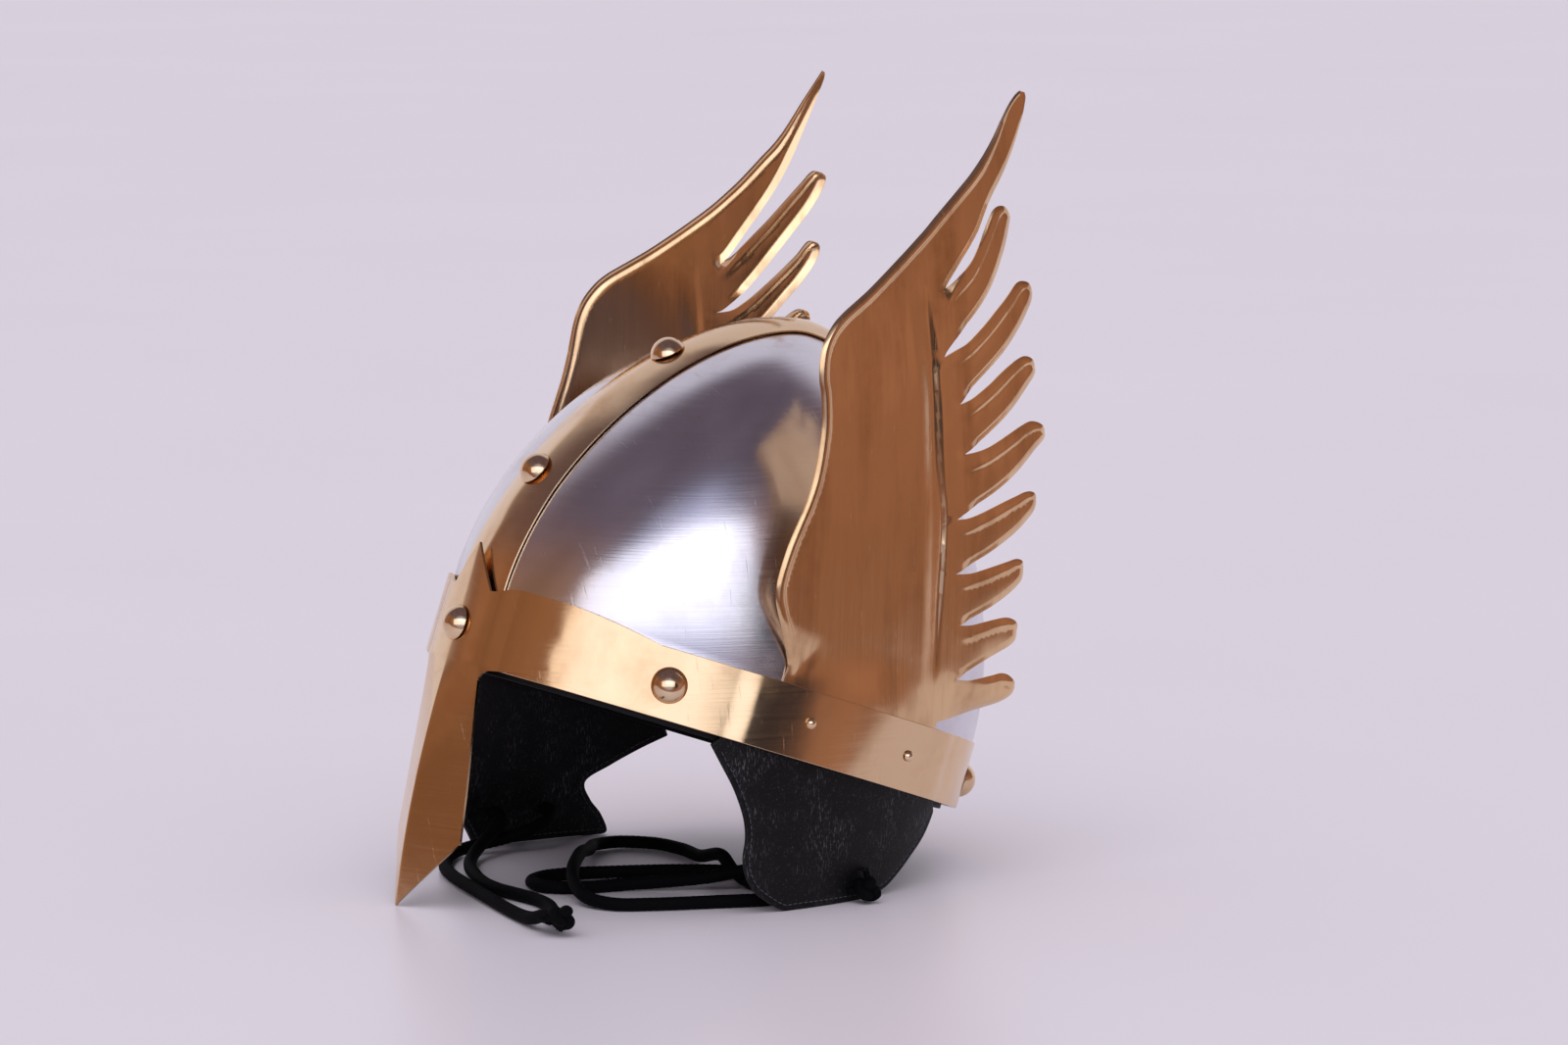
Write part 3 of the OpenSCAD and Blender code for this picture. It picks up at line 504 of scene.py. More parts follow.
def make_skull():
    """Rings that close in a point at the crown."""
    f = np.linspace(0, 1, BOWL_ROWS)
    wall = np.linspace(0, BAND_H, WALL_ROWS, endpoint=False)
    z = np.concatenate([wall, BAND_H + DOME_H * (1 - (1 - f) ** (1 / DOME_POWER))])
    t = np.linspace(0, 360, BOWL_COLS, endpoint=False)
    rings = off_skull(t[None, :], z[:, None], 0)
    points = np.vstack([rings.reshape(-1, 3), [[0, 0, SKULL_H]]])
    faces = grid_faces(len(z), BOWL_COLS, True).tolist()
    crown = len(z) * BOWL_COLS
    faces += end_fan(crown - BOWL_COLS, BOWL_COLS, crown)
    swell = swells(points, (0.07, 38, 1), (0.03, 17, 2)) * ramp(20, 50, points[:, 2])
    away = unit(points - np.array([0, 0, BAND_H]))
    made = piece("skull_steel_bowl", stood(points + swell[:, None] * away), faces, "skull_steel", ["skull"])
    thicken(made, SKULL_T)


# The brow band, which swells over the ends of the crest band and over the wing tabs
TAB_FROM = -15
TAB_TO = 35
TAB_RAMP = 5
COVER_RAMP = 12


def tab_cover(t):
    a = np.where(t > 180, t - 360, t)
    b = np.where(np.abs(a) > 90, 180 * np.sign(a) - a, a)
    return ease(np.minimum(clamp((b - TAB_FROM) / TAB_RAMP + 1), clamp((TAB_TO - b) / TAB_RAMP + 1)))


def crest_cover(x, half):
    return ease(clamp((half - np.abs(x)) / COVER_RAMP + 1))


def ridge(u, softness):
    """A fold across a strip: 1 in its middle and 0 at its edges, more rounded with more softness."""
    reach = np.sqrt(u * u + softness * softness) - softness
    return clamp(1 - reach / (np.sqrt(1 + softness * softness) - softness))


def band_lift(t):
    p = on_skull(t, 0)
    half = np.where(p[..., 1] < 0, CREST_FRONT_W, CREST_W) / 2
    over_tab = (WING_T + SEAT) * tab_cover(t)
    over_crest = (CREST_T + CREST_GAP) * crest_cover(p[..., 0], half)
    over_crest = over_crest + KEEL_LOW * ridge(clamp(np.abs(p[..., 0]) / half), 0.3)
    return np.where(np.abs(cos_deg(t)) > cos_deg(45), over_tab, over_crest)


def make_brow_band():
    t = np.linspace(0, 360, 720, endpoint=False)
    z = np.linspace(0, BAND_H, 12)
    lift = SEAT + BAND_T + band_lift(t)
    points = off_skull(t[None, :], z[:, None], lift[None, :]).reshape(-1, 3)
    points[:, :2] *= 1 + swells(points, (0.05, 26, 3), (0.03, 11, 4))[:, None] / 100
    sheet("brow_band_brass", points, len(z), True, "band_brass", "brow_band", BAND_T)


# The crest band follows the dome by its angle at the middle of the brow band's upper rim
def outside(x, y, z):
    half = half_len(z, y)
    s = clamp(y / half, -1, 1)
    width = half_wid(z) * egg(s, z)
    return (z >= SKULL_H) | ((x / width) ** 2 + (y / half) ** 2 > 1)


def on_line(x, a):
    x, a = np.broadcast_arrays(np.asarray(x, float), np.asarray(a, float))
    low, high = np.zeros(x.shape), np.full(x.shape, SKULL_H + SKULL_BACK)
    for _ in range(30):
        middle = (low + high) / 2
        out = outside(x, -middle * cos_deg(a), BAND_H + middle * sin_deg(a))
        low, high = np.where(out, low, middle), np.where(out, middle, high)
    return np.stack([x, -low * cos_deg(a), BAND_H + low * sin_deg(a)], -1)


def line_normal(a):
    a = np.asarray(a, float)
    d = on_line(0, np.minimum(180, a + 1)) - on_line(0, np.maximum(0, a - 1))
    return unit(np.stack([np.zeros(a.shape), -d[..., 2], d[..., 1]], -1))


def make_crest_band():
    a = np.concatenate([np.full(5, 0.01), np.arange(1, 180, 1.0), np.full(5, 179.99)])
    half = np.where(a < 90, blend(CREST_FRONT_W, CREST_W, clamp(a / 25)), CREST_W) / 2
    across = np.linspace(-1, 1, 33)
    x = half[:, None] * across[None, :]
    base = on_line(x, a[:, None])
    keel = blend(KEEL_LOW, CREST_KEEL, ramp(BAND_H, KEEL_FULL_Z, on_line(0, a)[:, 2]))
    softness = 0.05 + 0.9 * ease(ramp(45, 75, a)) * (1 - 0.6 * ease(ramp(120, 150, a)))
    drift = (0.05 * np.sin(a / 4.5) + 0.03 * np.sin(a / 2.1 + 1)) * ramp(3, 12, a)
    u = np.abs(across[None, :] - drift[:, None] * (1 - across[None, :] ** 2))
    lift = CREST_GAP + CREST_T + keel[:, None] * ridge(u, softness[:, None])
    points = base + lift[..., None] * line_normal(a)[:, None, :]
    fall = np.linspace(CREST_END, BAND_H, 5, endpoint=False)
    points[:5, :, 2] = fall[:, None]
    points[-5:, :, 2] = fall[::-1, None]
    flat = points.reshape(-1, 3)
    flat += (0.06 * wave(flat, 14, 5))[:, None] * unit(flat - np.array([0, 0, BAND_H]))
    sheet("crest_band_brass", flat, len(a), False, "band_brass", "crest_band", CREST_T)


# The front plate: a folded nose guard with a spike and two brow arms, of one sheet; its fold, the
# sweep of the nose guard, the angle from which the arms narrow, and its mesh
FILLET_X = NOSE_NECK + NOSE_FILLET
FRONT_EGG = float(egg(np.array(-0.97), np.array(0.0)))
FOLD_SHARE = 0.35
FOLD_SOFT = 0.02
NOSE_TURN_DEPTH = 65
NOSE_SOFT = 0.3
NOSE_SWEEP_POWER = 2.2
ARM_FADE_T = -62
ARM_FADE_POWER = 1.6
PLATE_COLS = 40
ARM_COLS = 90
ROUND_COLS = 24
PLATE_ROWS = 24
NOSE_ROWS = 80


def t_at(x):
    return -np.degrees(np.arccos(x / (SKULL_WID / 2 * FRONT_EGG)))


ARM_T0 = float(t_at(FILLET_X))
SIDE_T, SIDE_Z = SIDE_RIVET
ARM_METRIC = float(np.linalg.norm(on_skull(SIDE_T + 0.5, 0) - on_skull(SIDE_T - 0.5, 0)))
ARM_ROUND = ARM_END_LEN / ARM_METRIC


def fold_lift(x, z):
    half = CREST_FRONT_W / 2
    height = KEEL_LOW + (CREST_KEEL - KEEL_LOW) * ramp(BAND_H, KEEL_FULL_Z, z) * FOLD_SHARE
    return (CREST_T + CREST_GAP) * crest_cover(x, half) + height * ridge(clamp(np.abs(x) / half), FOLD_SOFT)


def nose_y(x, z, d):
    """How far forward the nose guard and the middle of the plate lie."""
    rim = off_skull(t_at(np.abs(x)), 0, d)[..., 1] - fold_lift(x, z)
    middle = -SKULL_FRONT - d - fold_lift(np.zeros(np.shape(x)), z)
    turn = sin_deg(90 * ramp(0, NOSE_TURN_DEPTH, -z))
    soft_x = np.sqrt(x * x + NOSE_SOFT) - math.sqrt(NOSE_SOFT)
    sweep = NOSE_SWEEP * ramp(0, NOSE_DROP, -z) ** NOSE_SWEEP_POWER
    return blend(rim, middle, turn) + NOSE_SLOPE * soft_x * turn + sweep


def arm_outline(t):
    """Lower and upper edge of a brow arm at each angle round the rim."""
    fade = ramp(ARM_FADE_T, SIDE_T, t)
    end = ARM_END_HALF * np.sqrt(clamp(1 - ramp(SIDE_T, SIDE_T + ARM_ROUND, t) ** 2))
    top = ARM_TOP + (SIDE_Z + ARM_END_HALF - ARM_TOP) * fade ** ARM_FADE_POWER
    low = ARM_LOW * sin_deg(90 * ramp(ARM_T0, ARM_FADE_T, t)) + (SIDE_Z - ARM_END_HALF - ARM_LOW) * fade
    return np.where(t <= SIDE_T, low, SIDE_Z - end), np.where(t <= SIDE_T, top, SIDE_Z + end)


def plate_surface(d):
    """Points and faces of the plate's face, its columns running from one arm's end to the other's."""
    x = np.linspace(0, FILLET_X, PLATE_COLS + 1)
    notch_x = FILLET_X / 2
    spike = blend(SPIKE_H, NOTCH_H, clamp(x / notch_x))
    shoulder = blend(NOTCH_H, ARM_TOP, ease(clamp((x - notch_x) / notch_x)))
    top = np.where(x <= notch_x, spike, shoulder)
    arm_t = np.linspace(ARM_T0, SIDE_T, ARM_COLS + 1)[1:]
    end_t = SIDE_T + ARM_ROUND * sin_deg(90 * np.linspace(0, 1, ROUND_COLS + 1)[1:] * 0.97)
    t = np.concatenate([arm_t, end_t])
    arm_low, arm_top = arm_outline(t)
    low = np.concatenate([np.zeros(len(x)), arm_low])
    top = np.concatenate([top, arm_top])
    rows = []
    for f in np.linspace(0, 1, PLATE_ROWS):
        z = blend(low, top, f)
        middle = np.stack([x, nose_y(x, z[:len(x)], d), z[:len(x)]], -1)
        arm = off_skull(t, 0, d)
        arm[:, 2] = z[len(x):]
        right = np.vstack([middle, arm])
        rows.append(np.vstack([(right * [-1, 1, 1])[:0:-1], right]))
    nose = []
    for v in np.linspace(0, 1, NOSE_ROWS, endpoint=False):
        z_mid = -NOSE_DROP * (1 - v)
        depth = NOSE_FILLET * float(ramp(-NOSE_FILLET, 0, z_mid))
        half = blend(NOSE_HALF, NOSE_NECK, v) + NOSE_FILLET - math.sqrt(NOSE_FILLET ** 2 - depth ** 2)
        a = np.linspace(-1, 1, 2 * PLATE_COLS + 1)
        z = (-NOSE_DROP + NOSE_CORNER * np.abs(a)) * (1 - v)
        nose.append(np.stack([a * half, nose_y(a * half, z, d), z], -1))
    wide, slim = rows[0].shape[0], 2 * PLATE_COLS + 1
    upper = PLATE_ROWS * wide
    first = (wide - slim) // 2
    last = upper + (NOSE_ROWS - 1) * slim
    faces = grid_faces(PLATE_ROWS, wide).tolist() + grid_faces(NOSE_ROWS, slim, base=upper).tolist()
    faces += [[last + c, last + c + 1, first + c + 1, first + c] for c in range(slim - 1)]
    return np.vstack(rows + nose), faces


def make_front_plate():
    points, faces = plate_surface(PLATE_LIFT + PLATE_T)
    swell = swells(points, (0.16, 30, 6), (0.05, 12, 7))
    beside_fold = np.abs(points[:, 0])
    points[:, 1] += swell * ramp(4, 14, beside_fold) * ramp(60, 30, beside_fold)
    hammered = 0.2 * wave(points, 15, 8) * ramp(30, 50, beside_fold)
    points += hammered[:, None] * unit(points * [1, 1, 0])
    made = piece("front_plate_brass", stood(points), faces, "band_brass", ["front_plate"], sharp=25)
    thicken(made, PLATE_T, edge=0.3, segments=3)


# Filling an outline with triangles, with rows of points along its edge and along given lines
CHUNK = 2000
TINY = 1e-12


def facing(faces, side):
    """Faces of a mirrored shape, turned to look outward again on the other side."""
    return faces if side > 0 else [f[::-1] for f in faces]


def segment_distance(points, line, closed=False, signed=False):
    """Distance of each point from a line of segments; signed, it is negative on the line's right."""
    a = line if closed else line[:-1]
    b = np.roll(line, -1, axis=0) if closed else line[1:]
    d = b - a
    length = np.maximum((d * d).sum(1), TINY)
    found = [np.empty(0)]
    for i in range(0, len(points), CHUNK):
        p = points[i:i + CHUNK, None, :]
        away = p - a - clamp(((p - a) * d).sum(2) / length)[..., None] * d
        apart = np.linalg.norm(away, axis=2)
        row, near = np.arange(len(p)), apart.argmin(1)
        way, off = d[near], away[row, near]
        side = np.sign(way[:, 0] * off[:, 1] - way[:, 1] * off[:, 0]) if signed else 1
        found.append(apart[row, near] * side)
    return np.concatenate(found)


def inside(points, outline):
    """Whether each point lies within a closed outline."""
    a, b = outline, np.roll(outline, -1, axis=0)
    held = np.zeros(len(points), bool)
    rise_of = np.where(b[:, 1] == a[:, 1], TINY, b[:, 1] - a[:, 1])
    for i in range(0, len(points), CHUNK):
        p = points[i:i + CHUNK]
        cross = (a[:, 1] > p[:, 1:]) != (b[:, 1] > p[:, 1:])
        at = (p[:, 1:] - a[:, 1]) / rise_of * (b[:, 0] - a[:, 0]) + a[:, 0]
        held[i:i + CHUNK] = ((p[:, :1] < at) & cross).sum(1) % 2 == 1
    return held


def beside(line, offset, closed=False):
    """A line moved sideways."""
    ahead = np.roll(line, -1, axis=0) - np.roll(line, 1, axis=0)
    if not closed:
        ahead[0], ahead[-1] = line[1] - line[0], line[-1] - line[-2]
    way = unit(ahead)
    return line + offset * np.stack([way[:, 1], -way[:, 0]], -1)


def filled(outline, spacing, bands, guides=()):
    """Points and triangles inside an outline; bands are depths of rows within its edge,
    and guides are pairs of a line and the offsets of the rows beside it."""
    def within(points, depth):
        points = points[inside(points, outline)]
        return points[segment_distance(points, outline, True) > depth]

    rows = [within(beside(outline, depth, True), 0.97 * depth) for depth in bands]
    rows += [within(beside(line, offset), max(bands) + 0.3 * spacing)
             for line, offsets in guides for offset in offsets]
    low, high = outline.min(0), outline.max(0)
    mesh_rows = []
    for i, z in enumerate(np.arange(low[1], high[1], spacing * math.sqrt(0.75))):
        y = np.arange(low[0] + (i % 2) * spacing / 2, high[0], spacing)
        mesh_rows.append(np.stack([y, np.full(len(y), z)], -1))
    loose = within(np.vstack(mesh_rows), max(bands) + 0.45 * spacing)
    for line, offsets in guides:
        loose = loose[segment_distance(loose, line) > max(np.abs(offsets)) + 0.4 * spacing]
    every = np.vstack([outline, *rows, loose])
    loop = list(range(len(outline)))
    points, _, faces, *_ = delaunay_2d_cdt([Vector(p) for p in every], [], [loop], 1, 1e-4)
    return np.array([(p.x, p.y) for p in points]), [list(f) for f in faces]


# The wings: y and z of their edges in the helmet's axes. The two were cut by hand and differ a little.
WING_FOOT = [
    (-39, 57.6), (-36.2, 53.2), (-32.7, 48.8), (-29, 44.6), (-24.8, 39.5), (-22, 35.4), (-21.4, 30.6)]
LEFT_LEADING = [
    (16.8, 283.8), (14.9, 281.2), (12.8, 276.9), (10.2, 268.7), (8.2, 261.4), (4.7, 252.2), (0.4, 243.4),
    (-4.1, 235.9), (-8.6, 228.5), (-12.2, 222.5), (-15.7, 216.4), (-19.7, 210.2), (-23.8, 204),
    (-28.3, 197.4), (-32.8, 190.8), (-37.3, 184.5), (-41.9, 178.7), (-46, 173.5), (-49, 168.7),
    (-50.7, 164.2), (-51.6, 159.4), (-51.5, 155), (-50.6, 150.2), (-48.7, 144.7), (-46.3, 140.4),
    (-44.4, 135.9), (-42.6, 131), (-41.2, 126), (-39.6, 117.1), (-38.8, 110.2), (-38.6, 104.2),
    (-39, 98.1), (-39.8, 91.8), (-40.6, 85.6), (-41.2, 79.4), (-41.4, 73.3), (-41.3, 67.2), (-40.7, 62.3)]
LEFT_TOP = [
    (19.4, 284), (20.4, 282.4), (20.7, 279.9), (20.9, 274.8), (20.5, 268.6), (19.8, 261.2), (18.5, 253.7),
    (16.9, 247.1), (15.1, 241.5), (13.5, 235.9), (12.3, 229.4), (11.4, 224.2), (10, 219.8), (8.3, 215.2),
    (6.4, 210.5), (4.2, 204.8), (2.4, 200.2), (1.4, 196.9)]
FEATHER_2 = [
    (4, 200.2), (6.7, 204.5), (9.3, 208.8), (10.8, 212.3), (12, 217.1), (13, 222.5), (13.9, 227.3),
    (14.7, 231.2), (15.6, 234), (17.3, 235.8), (19.7, 236.6), (22.3, 236.5), (24.8, 235.4), (26, 233.5),
    (26.2, 231), (26.4, 226.4), (26.3, 221.3), (25.8, 216.1), (25, 209.7), (23.6, 203.2), (21.4, 197),
    (18.6, 191.1), (15.2, 185.1), (11.3, 178.4), (8.6, 172.6), (8.2, 170.5)]
FEATHER_3 = [
    (13.1, 174.9), (17.2, 178.5), (20.9, 183.6), (24.5, 189.2), (27.9, 195.3), (31, 200.7), (33.1, 204.9),
    (34.4, 207.9), (35.7, 209.7), (38.2, 210.7), (41.8, 210.6), (44.4, 209.2), (45.6, 206.5),
    (45.5, 203.2), (44.6, 199.5), (43.3, 194.6), (41.2, 188.8), (38.5, 182.4), (34.7, 175.7),
    (30.7, 169.5), (26.3, 162.7), (23.4, 157.4), (21.9, 154.7)]
FEATHER_4 = [
    (26.5, 158), (30.4, 162.3), (34.2, 166.9), (37.8, 172), (41.2, 176.3), (44.2, 179.7), (46.9, 181.8),
    (50.1, 182.3), (53.4, 181.2), (55.8, 178.8), (55.9, 176), (54.5, 172.6), (52.6, 168), (50.2, 162.6),
    (46.5, 156), (41.5, 149), (36.4, 142.5), (32.1, 137.8), (30.6, 136.3)]
LOW_FEATHERS = [
    [(35.7, 138.7), (41.2, 142.2), (46.3, 146.7), (51.3, 151.6), (55.4, 155.5), (58.1, 157.6),
     (61.2, 158.4), (64.9, 158), (67.9, 156.4), (69.1, 154.3), (68, 151.4), (66.3, 148.8), (64.4, 145.2),
     (61.9, 140.4), (58.3, 134.6), (53.9, 128.9), (49, 123.6), (44.6, 119.4), (41.2, 116.1),
     (37.8, 112.5), (36, 110.5)],
    [(41.2, 112.5), (46.6, 116), (51.8, 119.9), (57, 123.9), (61.8, 127.4), (65.1, 129.8), (68.1, 130.9),
     (71.1, 130.6), (73.3, 128.8), (74, 125.9), (73.3, 123.1), (71.6, 119.8), (69.2, 115.8),
     (65.7, 111.2), (61, 105.9), (56.2, 101), (51.2, 96.6), (47.2, 93), (43.3, 89.5)],
    [(50.4, 91.8), (55.9, 94.7), (61.4, 97.9), (67, 101.2), (70.2, 103), (73, 103.3), (75.5, 101.9),
     (77, 99.6), (77.4, 96.2), (75.9, 93), (72.9, 88.8), (68.3, 83.7), (63.3, 79.1), (58.3, 74.9),
     (54.8, 71.9), (52.7, 70.4)],
    [(58.1, 71.9), (63.7, 74.6), (69.4, 77.4), (74.1, 79.3), (77.6, 79.5), (80.9, 78.2), (82.8, 75.6),
     (83.4, 72.3), (81.7, 69.4), (77.8, 65.9), (72.8, 61.6), (68.1, 57.4), (63.6, 53.2), (60.3, 50.2),
     (59.1, 49.2)],
    [(65.3, 50.4), (70.9, 52.8), (76.3, 55.4), (80.7, 57.4), (84.4, 57.4), (87.8, 55.9), (90.2, 53.6),
     (90.4, 51.6), (89.3, 49.2), (86.7, 46.1), (81.8, 42.6), (75.8, 39.1), (69.3, 35.6), (62.3, 32.4),
     (58.3, 30.9)]]
RIGHT_LEADING = [
    (18.2, 284), (17.4, 280.6), (16.1, 275), (14.6, 268.5), (13.5, 263.3), (12.3, 258), (10.8, 252.6),
    (8.9, 247.5), (6, 241.5), (3.1, 235.1), (-0.1, 228.5), (-3.7, 222.2), (-7.3, 216.3), (-11.1, 210.9),
    (-15.1, 205.7), (-19.3, 200.4), (-24, 194.7), (-28.9, 189), (-34, 183.6), (-38.4, 179.1),
    (-42.5, 174.8), (-45.8, 170.4), (-48.2, 165.6), (-49.8, 160.7), (-50.5, 155.1), (-50.3, 149.2),
    (-49.5, 143), (-48.6, 135.8), (-48, 126.4), (-48, 118.8), (-48.1, 110), (-47.9, 100), (-47.4, 90),
    (-46.6, 80), (-45.2, 70), (-43, 63)]
RIGHT_TOP = [
    (19.4, 283.8), (20, 281.5), (20.1, 276.9), (19.9, 270.3), (19.6, 263.6), (19.2, 256.3), (18.9, 250.1),
    (18.6, 245.7), (18, 240.1), (17.2, 234.4), (16, 228.5), (14.4, 222.5), (12.7, 216.6), (11, 211.2),
    (9.4, 206), (7.9, 200.9), (6.6, 197.3), (5.2, 194.7)]
RIGHT_FEATHERS = [
    [(9, 198), (11.9, 203.1), (15.4, 209.6), (18.8, 216.2), (21.9, 223), (24.5, 229), (26.7, 234),
     (28.6, 238.2), (30, 241.5), (31.4, 243.2), (34.3, 243.5), (36.6, 242.3), (37.2, 239.6),
     (37.1, 236.2), (36.4, 232), (35.1, 226.7), (33.3, 221.1), (31.3, 215.4), (29.2, 209.5),
     (26.6, 202.6), (23.7, 195.4), (21, 189.2), (18.2, 183.6), (15.3, 178.6), (12.6, 175), (10.3, 173.3)],
    [(17.4, 176.6), (21.8, 181.2), (25.7, 186.6), (29.4, 192.5), (32.9, 198.4), (35.9, 203.8),
     (38.2, 208.4), (39.5, 212.2), (40.7, 214.4), (42.6, 215.2), (45, 214.6), (46.1, 211.8),
     (46.2, 208.1), (45.4, 204), (44, 199.3), (42.2, 194.5), (40.1, 189.8), (37.9, 184.8), (35.5, 179.4),
     (32, 172.6), (28, 165.6), (24.5, 159), (21.9, 154.7)],
    [(26.5, 158), (30.4, 163), (34.2, 168.5), (38, 174.5), (41.5, 179.7), (44.8, 184), (47.4, 186),
     (50.4, 186.2), (52.4, 184), (52.8, 181), (52.1, 177), (50.4, 171), (48, 163.7), (45, 156.3),
     (41, 149), (36.4, 142.5), (32.1, 137.8), (30.6, 136.3)]]
LEFT_WING = (LEFT_LEADING + WING_FOOT, LEFT_TOP, [FEATHER_2, FEATHER_3, FEATHER_4] + LOW_FEATHERS)
RIGHT_WING = (RIGHT_LEADING + WING_FOOT, RIGHT_TOP, RIGHT_FEATHERS + LOW_FEATHERS)
SHAFT_LEFT = [
    (-12.8, 199.5), (-15.1, 195.3), (-15.9, 190), (-14.6, 183.3), (-11.1, 176.2), (-7.3, 169.2),
    (-4, 163.1), (-0.4, 156), (2.9, 148.7), (7.8, 135.9), (13.1, 122), (18.4, 108.1), (25.2, 89.4),
    (32.3, 70.7), (39.3, 52), (43.9, 38)]
SHAFT_RIGHT = [
    (-12.1, 199.5), (-7.8, 194.3), (-3.8, 188.4), (-0.6, 182.2), (2.4, 177), (6.1, 168.9), (9.6, 160.7),
    (13.9, 151.7), (20.8, 134.3), (26.6, 120.5), (30.9, 109.4), (36.7, 92.4), (40.9, 78.1), (45.2, 63.7),
    (50.2, 49.4), (54, 38)]
SHAFT_DEEP = [
    (-11.5, 197), (-8.4, 193.1), (-5.2, 184.9), (-1.4, 176.8), (2.8, 167.9), (6.4, 158.7), (9.6, 150.5),
    (14.6, 137.6), (19.5, 126.6), (23.6, 119.6), (27.6, 113.5), (30.4, 107), (33.5, 96.6), (36.5, 86.1),
    (40.5, 72.7), (44.9, 58.3), (49.4, 42)]

# Mesh steps of the wings, and their relief: bead, feathers, shaft and the near wing's dent
EDGE_STEP = 1.2
WING_SPACING = 1.4
BEAD_HALF = 2.3
BEAD_RISE = {"left": 1.5, "right": 0.8}
STRIP = 2.8
STRIP_DROP = 1.5
TAB_FRONT = -21
TAB_REAR = 58
TAB_TOP = 4
RIDGE_SPAN = (0.12, 0.93)
RIDGE_POINTS = 14
RIDGE_SHARE = 0.3
RIDGE_RISE = 0.6
RIDGE_SOFT = 0.6
SHAFT_DEPTH = {"left": 1.3, "right": 0.45}
SHAFT_WIDE = 9
SHAFT_TOP = (196, 165)
SHAFT_FOOT = (38, 78)
TIP_LENGTH = 40
FEATHER_CROWN = 0.5
WING_ROWS = (0.7, 1.4, 2.1, STRIP, 3.6, 4.6)
FOLD_ROWS = (0, 0.6, -0.6)
SHAFT_ROWS = (0, 0.9, -0.9)
FOOT_BEND_END = 52
DENT = (-13.8, 40.5)
DENT_SIZE = (2.4, 4.6)
DENT_DEPTH = 0.5
SIDES = (("left", 1), ("right", -1))


def wing_outline(leading, top, feathers):
    """The outline, its front edge, its top feather's rear edge, and upper edge, lower edge and ridge
    of each of the other feathers."""
    front = spline(leading, EDGE_STEP)
    rear = spline(top, EDGE_STEP)
    trailing, folds = [rear], []
    start = top[-1]
    for feather in feathers:
        edge = spline([start] + feather, EDGE_STEP)
        trailing.append(edge[1:])
        tip = int(np.argmax(np.linalg.norm(edge - (edge[0] + edge[-1]) / 2, axis=1)))
        f = np.linspace(*RIDGE_SPAN, RIDGE_POINTS)
        upper = edge[(f * tip).astype(int)]
        lower = edge[len(edge) - 1 - (f * (len(edge) - 1 - tip)).astype(int)]
        fold = spline(blend(upper, lower, RIDGE_SHARE), EDGE_STEP)
        folds.append((edge, edge[:tip + 1], edge[tip:], fold))
        start = feather[-1]
    low, high = BAND_H - TAB_DEPTH, BAND_H - TAB_TOP
    tab = np.array([(TAB_REAR, high), (TAB_REAR, low), (TAB_FRONT, low), (TAB_FRONT - 0.4, high)])
    tab_edge = [spline(tab[i:i + 2], EDGE_STEP)[:-1] for i in range(3)] + [tab[3:]]
    tip_edge = spline([leading[0], top[0]], EDGE_STEP)[:-1]
    return np.vstack([front[::-1][:-1], tip_edge, *trailing, *tab_edge]), front, rear, folds


def shaft_lines():
    return [spline(line, EDGE_STEP) for line in (SHAFT_LEFT, SHAFT_RIGHT, SHAFT_DEEP)]


def wing_relief(p, front, rear, folds, bead_rise, shaft_depth):
    """How far each point of the wing is pressed out: a beaded front edge, on each feather a ridge and
    a lower edge turned in, and a valley along the shaft."""
    slim = clamp((WING_TOP + 3 - p[:, 1]) / TIP_LENGTH, 0.3, 1)
    lead = segment_distance(p, front) / (BEAD_HALF * slim) - 1
    height = bead_rise * slim * np.where(lead < 0, np.sqrt(clamp(1 - lead * lead)), ease(clamp(1 - lead)))
    strip = clamp(1 - segment_distance(p, rear) / (STRIP * slim))
    height -= STRIP_DROP * slim * strip * ramp(4, 12, np.linalg.norm(p - rear[0], axis=1))
    for edge, upper, lower, fold in folds:
        held = inside(p, edge) | (segment_distance(p, edge) < 0.05)
        q = p[held]
        root = (edge[0] + edge[-1]) / 2
        reach = lower[0] - root
        along = ((q - root) @ reach) / (reach @ reach)
        to_low = segment_distance(q, lower)
        share = to_low / np.maximum(to_low + segment_distance(q, upper), 1e-6)
        crown = FEATHER_CROWN * (1 - (2 * share - 1) ** 2) * ramp(0.05, 0.4, along)
        above = segment_distance(q, fold, signed=True)
        step = ease(ramp(-RIDGE_SOFT, RIDGE_SOFT, above)) * ramp(0.06, 0.3, along)
        turned = clamp(1 - to_low / STRIP) * ramp(-0.02, 0.12, along)
        height[held] += crown + RIDGE_RISE * step - STRIP_DROP * turned
    left, right, deep = shaft_lines()
    to_left, to_right, to_deep = (segment_distance(p, line) for line in (left, right, deep))
    to_edge = np.minimum(to_left, to_right)
    share = to_edge / np.maximum(to_edge + to_deep, 1e-6)
    fade = ramp(*SHAFT_TOP, p[:, 1]) * ramp(*SHAFT_FOOT, p[:, 1])
    valley = shaft_depth * ease(share) * clamp((to_left + to_right) / SHAFT_WIDE) * fade
    height -= np.where(inside(p, np.vstack([left, right[::-1]])), valley, 0)
    return height * ramp(BAND_H + 2, BAND_H + 12, p[:, 1])


def tab_x(y):
    s = y / half_len(0, y)
    t = np.degrees(np.arcsin(s))
    return on_skull(t, 0)[..., 0] + (SEAT + WING_T / 2) / normal_at(t, 0)[..., 0]


def wing_x(y, z):
    """Sideways place of the wing's sheet: its tab hugs the skull and its blade stands up bowed."""
    blade = WING_STAND - WING_TOE * y - WING_LEAN * (z - BAND_H)
    blade = blade + WING_BOW * sin_deg(180 * ramp(BAND_H, WING_TOP + 2, z))
    return blend(tab_x(y), blade, ease(ramp(BAND_H + 1, FOOT_BEND_END, z)))


